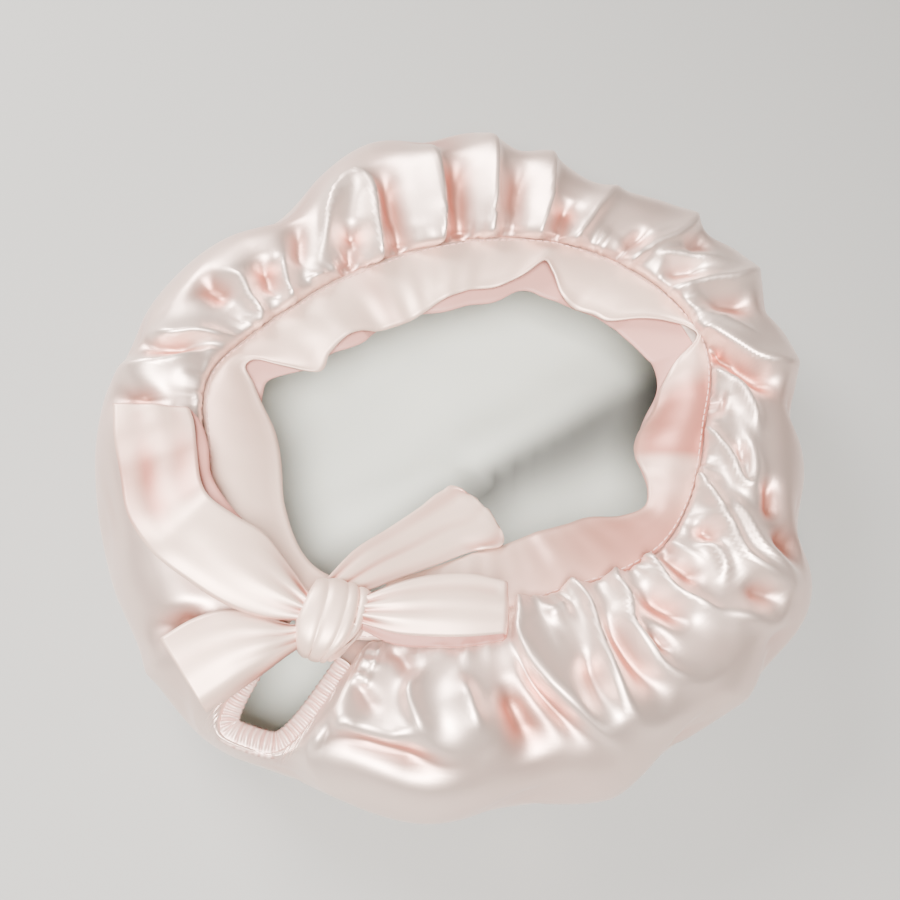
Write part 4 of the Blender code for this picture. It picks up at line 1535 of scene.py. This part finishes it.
@dataclass
class Bow:
    """The bow at the nape: knot, two loops and two tails."""

    form: CrownForm
    wall: float = 0.0008
    columns: int = 20
    spacing: float = 0.0009
    clearance: float = 0.0012
    knot_length: float = 0.0245
    knot_width: float = 0.0185
    knot_height: float = 0.017
    knot_turn: float = 75.0
    # Painted shade on the ribbons: near the knot, in dips, on steep parts and under the loops
    knot_shade: float = 0.022
    knot_gain: float = 0.35
    painted_shade_depth: float = 0.0012
    painted_shade_reach: int = 5
    least_shade: float = 0.05
    steep_gain: float = 0.7
    steep_level: float = 0.93
    steep_reach: float = 0.35
    under_shade: float = 0.7
    pleat: float = 0.0006
    pleat_count: float = 3.0
    gather_length: float = 0.014
    ripple_turns: tuple[float, float] = (9.0, 15.0)
    ripple_run: float = 60.0
    droop: float = 0.0030
    droop_share: float = 0.20
    layer_walls: float = 2.2
    end_steps: int = 8
    end_shade: float = 0.3
    knot_drop: float = 0.004
    knot_steps: int = 120
    knot_columns: int = 32
    knot_power: float = 2.0 / 2.5
    knot_slant: tuple[float, float] = (0.22, 0.18)
    knot_skew: float = 0.0016
    knot_taper: float = 0.16
    knot_pinch: float = 0.30
    pinch_ease: Ease = Ease(0.86, 0.14)
    knot_narrow: float = 0.42
    knot_creases: tuple[Crease, ...] = (
        Crease(0.18, 0.10, -0.5), Crease(0.56, 0.09, -1.4), Crease(-0.48, 0.12, -0.6),
    )
    ground_columns: int = 70

    LEFT_LOOP_TOP = (
        Rib((-54.5, -72.5, 60), (-53.5, -66, 60), 1.5), Rib((-68, -72, 61), (-62, -54, 61.5), 2.6),
        Rib((-79, -68.5, 63), (-68.5, -46.5, 63.5), 2.2), Rib((-90, -62, 65), (-77, -42, 66), 1.4),
        Rib((-101, -53.5, 66), (-85, -36.5, 67), 0.6), Rib((-109, -42, 63), (-88.5, -30, 64), -0.6, 0.30),
        Rib((-113, -27.5, 61), (-90.5, -19, 62), -0.4, 0.45),
        Rib((-116, -14, 62.5), (-92, -9.5, 62.5), 0.4, 0.25),
        Rib((-117, -5, 62), (-93.5, -5.5, 62), 0.6, 0.10),
    )
    LEFT_LOOP_UNDER = (
        Rib((-54.5, -72, 57), (-53.5, -67, 57), 0.6), Rib((-69, -69, 58), (-63, -54, 58), 0.8),
        Rib((-80, -65, 59.5), (-70, -46.5, 60), 0.6), Rib((-91, -58, 60.5), (-77, -40, 61), 0.4),
        Rib((-101, -48, 60.5), (-82.5, -33, 61), 0.2), Rib((-108, -36, 59), (-86, -26, 59), 0.0),
        Rib((-112, -22, 59), (-87.5, -16, 59), 0.0), Rib((-115, -11, 59), (-90.5, -8, 59), 0.0),
        Rib((-117, -5, 59.5), (-93, -5, 59.5), 0.0),
    )
    RIGHT_LOOP_TOP = (
        Rib((-40.5, -66, 60), (-40.5, -72.5, 60), 1.4), Rib((-28, -61, 61.5), (-28.5, -76.5, 61), 1.8),
        Rib((-17, -58.5, 62), (-17.5, -77.5, 61.5), 1.4), Rib((-5, -58, 62.2), (-6, -77.5, 61.8), 1.0),
        Rib((5, -60, 61.8), (4, -76.5, 61.4), 0.8),
    )
    RIGHT_LOOP_UNDER = (
        Rib((-40.5, -67, 57), (-40.5, -73.5, 57), 0.4), Rib((-28, -63, 57.6), (-28.5, -79, 56.6), 0.6),
        Rib((-17, -60.5, 58), (-17.5, -80, 56.8), 0.6), Rib((-5, -60, 58.2), (-6, -80, 57.2), 0.4),
        Rib((5, -61, 58.6), (4, -78.5, 57.8), 0.2),
    )
    LEFT_TAIL = (
        Rib((-55.5, -77.5, 56.5), (-54.5, -73, 57.5), 1.0), Rib((-60.5, -81, 57), (-61, -73, 58), 1.6),
        Rib((-66, -85.5, 57.5), (-68.5, -71, 59), 2.2),
        Rib((-73, -91, 58), (-79, -69.5, 60), 1.6), Rib((-79, -95.5, 58), (-89, -72.5, 60), 0.8),
        Rib((-83.5, -98.5, 58), (-97.5, -78, 60), 0.2),
    )
    RIGHT_TAIL = (
        Rib((-50, -59, 55), (-44, -65, 54), 0.6), Rib((-40, -47.5, 51), (-27, -57, 50), 1.2),
        Rib((-30, -40, 48), (-13, -51, 47.5), 1.0), Rib((-19, -31.5, 46), (-2.5, -46.5, 46), 0.6),
        Rib((-11, -25, 45), (9, -43, 45.5), 0.3), Rib((-7, -23, 44.8), (9, -39.5, 45.4), 0.1),
        Rib((-4, -24, 44.8), (8, -37, 45.2), 0.0), Rib((-1, -26.5, 44.9), (5.5, -33, 45.1), 0.0),
    )

    def ribbon(self, ribs: tuple[Rib, ...], ripple: float = 0.3, seed: int = 1) -> np.ndarray:
        """Make a ribbon's net from its ribs.

        Args:
            ribs: Lines across the ribbon, outwards from the knot.
            ripple: Depth of soft lengthwise ripples, in millimetres.
            seed: Seed of the ripples.

        Returns:
            The net, from the ribbon's left edge to its right.
        """
        left = np.array([rib.left for rib in ribs], float) * MM
        right = np.array([rib.right for rib in ribs], float) * MM
        cups = np.array([rib.cup for rib in ribs], float) * MM
        middle = (left + right) / 2
        marks = np.concatenate(((0.0,), np.cumsum(np.linalg.norm(np.diff(middle, axis=0), axis=1))))
        steps = int(marks[-1] / self.spacing)
        places = np.linspace(0.0, marks[-1], steps + 1)
        left = smooth_through(marks, left, places)
        right = smooth_through(marks, right, places)
        cups = smooth_through(marks, cups, places)
        dice = np.random.default_rng(seed)
        phases = dice.uniform(0.0, PHASE, 4)
        shares = np.linspace(0.0, 1.0, self.columns + 1)
        net = left[:, None] + (right - left)[:, None] * shares[None, :, None]
        net[..., 2] += cups[:, None] * 4.0 * shares * (1.0 - shares)
        gather = np.exp(-places / self.gather_length)[:, None]
        wide, narrow = self.ripple_turns
        soft = np.sin(shares * wide + phases[0] + places[:, None] * self.ripple_run)
        soft = soft + np.sin(shares * narrow + phases[1])
        pleats = np.cos(shares * 2 * math.pi * self.pleat_count + phases[2])
        net[..., 2] += MM * ripple * 0.5 * soft * (1.0 - gather) + self.pleat * pleats * gather
        return net

    def loop(
        self, top: tuple[Rib, ...], under: tuple[Rib, ...], tree: BVHTree, seed: int
    ) -> tuple[np.ndarray, np.ndarray]:
        """Make a loop's net: out along its under layer, round the end and back on top.

        Args:
            top: Ribs of the top layer.
            under: Ribs of the under layer.
            tree: What the loop lies on.
            seed: Seed of the ripples.

        Returns:
            The net, with its outer side out, and the painted shade of each of its lines.
        """
        low = lie_on(self.ribbon(under, 0.2, seed), tree, self.clearance)
        high = self.ribbon(top, 0.3, seed + 1)
        high[..., 2] = np.maximum(high[..., 2], self.matching(low, high) + self.layer_walls * self.wall)
        outward = unit(low[-1] - low[-4])
        ends = []
        half = (high[-1] - low[-1]) / 2
        radius = np.linalg.norm(half, axis=-1, keepdims=True)
        for step in range(1, self.end_steps):
            turn = step * math.pi / self.end_steps
            ends.append(low[-1] + half * (1.0 - math.cos(turn)) + outward * radius * math.sin(turn))
        marks = np.linspace(0.0, 1.0, len(top))
        shade = np.interp(np.linspace(0.0, 1.0, len(high)), marks, [rib.shade for rib in top])
        under_shades = np.full(len(low), self.under_shade)
        shades = np.concatenate((under_shades, np.full(len(ends), self.end_shade), shade[::-1]))
        return np.concatenate((low, np.array(ends), high[::-1]))[:, ::-1], shades

    @staticmethod
    def matching(low: np.ndarray, high: np.ndarray) -> np.ndarray:
        """Read the heights of one layer at the other layer's lines.

        Args:
            low: The layer that is read.
            high: The layer at whose lines it is read.

        Returns:
            The heights.
        """
        places = np.linspace(0.0, 1.0, high.shape[0])
        marks = np.linspace(0.0, 1.0, low.shape[0])
        columns = [np.interp(places, marks, low[:, column, 2]) for column in range(low.shape[1])]
        return np.stack(columns, axis=1)

    def knot(self) -> np.ndarray:
        """Shape the wrap of ribbon round the middle of the bow.

        Returns:
            Its net, which closes on itself.
        """
        centre = plan_point(np.array(self.form.knot_radius()), np.array(self.form.keyhole_angle))
        height = self.form.seam_height - self.knot_drop + self.knot_height / 2
        middle = np.array((centre[0], centre[1], height))
        turn = math.radians(self.knot_turn)
        lengthways = np.array((math.cos(turn), math.sin(turn), 0.0))
        sideways = np.array((math.sin(turn), -math.cos(turn), 0.0))
        around = np.linspace(0.0, 2 * math.pi, self.knot_steps + 1)[:-1]
        across = np.linspace(-1.0, 1.0, self.knot_columns + 1)
        net = np.zeros((len(around), len(across), 3))
        for column, share in enumerate(across):
            pinch = 1.0 - self.knot_taper * abs(share) ** 3 - self.knot_pinch * self.pinch_ease.at(abs(share))
            slant = share - self.knot_slant[0] * np.sin(around) + self.knot_slant[1] * np.cos(around)
            crease = np.zeros(len(around))
            for line in self.knot_creases:
                crease += line.rise_mm * np.exp(-(((slant - line.place) / line.width) ** 2))
            cosine, sine = np.cos(around), np.sin(around)
            half_length = self.knot_length / 2 * pinch + crease * MM
            half_height = self.knot_height / 2 * pinch + crease * MM
            length = np.sign(cosine) * np.abs(cosine) ** self.knot_power * half_length
            rise = np.sign(sine) * np.abs(sine) ** self.knot_power * half_height
            skew = self.knot_skew * cosine
            narrow = 1.0 - self.knot_narrow * np.maximum(0.0, -cosine) ** 2
            width = self.knot_width / 2 * share * narrow + skew
            net[:, column] = middle + length[:, None] * lengthways + width[:, None] * sideways
            net[:, column, 2] += rise
        return net

    def painted_shade(self, net: np.ndarray) -> np.ndarray:
        """Find the painted shade on each point of a ribbon: where it lies low, steep, or close to the knot.

        Args:
            net: The ribbon's points.

        Returns:
            0 for no painted shade to 1 for the darkest.
        """
        height = net[..., 2]
        reach = self.painted_shade_reach
        padded = np.pad(height, reach, mode="reflect", reflect_type="odd")
        mean = np.zeros_like(height)
        for row in range(2 * reach + 1):
            for column in range(2 * reach + 1):
                mean += padded[row : row + height.shape[0], column : column + height.shape[1]]
        dip = (mean / (2 * reach + 1) ** 2 - height) / self.painted_shade_depth
        middle = plan_point(np.array(self.form.knot_radius()), np.array(self.form.keyhole_angle))
        away = np.linalg.norm(net[..., :2] - middle, axis=-1)
        along, across = np.gradient(net, axis=0), np.gradient(net, axis=1)
        level = np.abs(unit(np.cross(along, across))[..., 2])
        steep = self.steep_gain * smooth_step((self.steep_level - level) / self.steep_reach)
        close = self.knot_gain * np.exp(-((away / self.knot_shade) ** 2))
        return np.clip(self.least_shade + dip + steep + close, 0.0, 1.0)

    def add(self, name: str, net: np.ndarray, node: str, flat: tuple[float, float], closed: bool = False,
            back: ClothFinish = RIBBON, shades: np.ndarray | None = None) -> bpy.types.Object:
        """Args:
            name: The piece's name.
            net: Its net.
            node: The solid that it stands for.
            flat: The cut width and length; not used.
            closed: Whether the net is a closed ring.
            back: The finish of its inner side.
            shades: The painted shade of each line, where it has one.

        Returns:
            The piece.
        """
        piece = mesh_from_net(name, net, closed=closed)
        if not closed:
            painted_shade = self.painted_shade(net)
            if shades is not None:
                painted_shade = np.clip(painted_shade + shades[:, None], 0.0, 1.0)
            mark_painted_shade(piece, painted_shade, net.shape[1])
        thicken(piece, self.wall, [RIBBON.build(), back.build()])
        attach(piece, "root")
        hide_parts(node)
        log.info("%s: %d faces", name, len(piece.data.polygons))
        return piece

    def build(self, crown: np.ndarray, band: np.ndarray, casing: np.ndarray) -> None:
        """Make the whole bow.

        Args:
            crown: The crown's net.
            band: The band's top net.
            casing: The nape casing's net.
        """
        ground = [np.concatenate((crown, crown[:1]))[:, : self.ground_columns], band, casing]
        left_tail = self.ribbon(self.LEFT_TAIL, 0.25, 3)
        shares = np.linspace(0.0, 1.0, self.columns + 1)
        left_tail[..., 2] -= self.droop * smooth_step((self.droop_share - shares) / self.droop_share)
        left_tail = lie_on(left_tail, net_tree(ground), self.clearance)
        right_tail = lie_on(self.ribbon(self.RIGHT_TAIL, 0.5, 4), net_tree([band]), self.clearance)
        tree = net_tree(ground + [left_tail])
        left_loop, left_shades = self.loop(self.LEFT_LOOP_TOP, self.LEFT_LOOP_UNDER, tree, 6)
        right_loop, right_shades = self.loop(self.RIGHT_LOOP_TOP, self.RIGHT_LOOP_UNDER, tree, 9)
        self.add("bow_tail_left_ribbon", left_tail[:, ::-1], "bow_tail_left", (0.025, 0.039))
        self.add("bow_tail_right_ribbon", right_tail[:, ::-1], "bow_tail_right", (0.025, 0.060))
        self.add("bow_loop_left_ribbon", left_loop, "bow_loop_left", (0.025, 0.182), back=RIBBON_BACK_PAINTED_SHADE,
                 shades=left_shades)
        self.add("bow_loop_right_ribbon", right_loop, "bow_loop_right", (0.025, 0.097), back=RIBBON_BACK_PAINTED_SHADE,
                 shades=right_shades)
        self.add("bow_knot_wrap", self.knot(), "bow_knot", (0.025, 0.068), closed=True)


@dataclass
class Studio:
    """The pale floor, the soft lights and the camera."""

    camera_place: tuple[float, float, float] = (-0.0581, -0.1408, 0.370)
    elevation: float = 66.7
    azimuth: float = 21.0
    roll: float = 21.0
    lens_pixels: float = 1036.0
    image_pixels: float = 900.0
    sensor: float = 36.0
    low_sky: float = 0.02
    high_sky: float = 0.11
    sky_colour: tuple[float, float, float, float] = (0.97, 0.98, 1.0, 1.0)
    floor_size: float = 6.0
    floor_drop: float = 0.0002
    floor_colour: tuple[float, float, float, float] = (0.32, 0.32, 0.32, 1.0)
    floor_roughness: float = 0.7
    lamps: tuple[Lamp, ...] = (
        Lamp("Key light", (-0.20, -0.48, 1.10), 0.50, 56.0, (1.0, 0.96, 0.89)),
        Lamp("Side light", (-0.66, 0.66, 0.66), 0.50, 29.0, (1.0, 0.96, 0.90)),
    )

    def camera(self) -> None:
        """Place the camera at the photograph's viewing angle."""
        slope, turn, roll = (math.radians(value) for value in (self.elevation, self.azimuth, self.roll))
        ahead = Vector((math.sin(turn) * math.cos(slope), math.cos(turn) * math.cos(slope), -math.sin(slope)))
        level = Vector((math.cos(turn), -math.sin(turn), 0.0))
        upright = level.cross(ahead)
        up = math.cos(roll) * upright - math.sin(roll) * level
        right = math.cos(roll) * level + math.sin(roll) * upright
        data = bpy.data.cameras.new("Camera")
        data.sensor_width = self.sensor
        data.lens = self.sensor * self.lens_pixels / self.image_pixels
        data.clip_start = 0.01
        camera = bpy.data.objects.new("Camera", data)
        bpy.context.collection.objects.link(camera)
        place = Matrix.Translation(Vector(self.camera_place))
        camera.matrix_world = place @ Matrix((right, up, -ahead)).transposed().to_4x4()
        bpy.context.scene.camera = camera

    @staticmethod
    def light(lamp: Lamp) -> None:
        """Place one square soft light that faces the bonnet.

        Args:
            lamp: The light's name, place, side, watts and colour.
        """
        data = bpy.data.lights.new(lamp.name, "AREA")
        data.size = lamp.size
        data.energy = lamp.power
        data.color = lamp.colour
        light = bpy.data.objects.new(lamp.name, data)
        light.location = lamp.place
        light.rotation_euler = (-Vector(lamp.place)).to_track_quat("-Z", "Y").to_euler()
        bpy.context.collection.objects.link(light)

    def build(self) -> None:
        """Make the floor, the lights and the camera."""
        bpy.ops.object.select_all(action="DESELECT")
        bpy.ops.mesh.primitive_plane_add(size=self.floor_size, location=(0.0, 0.0, -self.floor_drop))
        floor = bpy.context.object
        floor.name = "floor"
        material = bpy.data.materials.new("Pale floor")
        material.use_nodes = True
        shader = material.node_tree.nodes["Principled BSDF"]
        shader.inputs["Base Color"].default_value = self.floor_colour
        shader.inputs["Roughness"].default_value = self.floor_roughness
        floor.data.materials.append(material)
        for lamp in self.lamps:
            self.light(lamp)
        world = bpy.data.worlds.new("Soft room")
        bpy.context.scene.world = world
        world.use_nodes = True
        nodes, links = world.node_tree.nodes, world.node_tree.links
        where = nodes.new("ShaderNodeTexCoord")
        split = nodes.new("ShaderNodeSeparateXYZ")
        level = nodes.new("ShaderNodeMapRange")
        level.inputs["From Min"].default_value = 0.0
        level.inputs["To Min"].default_value = self.low_sky
        level.inputs["To Max"].default_value = self.high_sky
        links.new(where.outputs["Generated"], split.inputs[0])
        links.new(split.outputs["Z"], level.inputs["Value"])
        links.new(level.outputs["Result"], nodes["Background"].inputs["Strength"])
        nodes["Background"].inputs["Color"].default_value = self.sky_colour
        self.camera()


def main() -> None:
    """Build every piece in order and report it."""
    logging.basicConfig(level=logging.INFO, format="%(message)s")
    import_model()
    Studio().build()
    form = CrownForm()
    piece, crown = Crown(form).build()
    log.info("crown: %d faces", len(piece.data.polygons))
    band = Band(form).build()
    log.info("band: %d lines", len(band))
    casing = NapeElastic(form).build()
    log.info("nape casing: %d lines", len(casing))
    Bow(form).build(crown, band, casing)


if __name__ == "__main__":
    main()
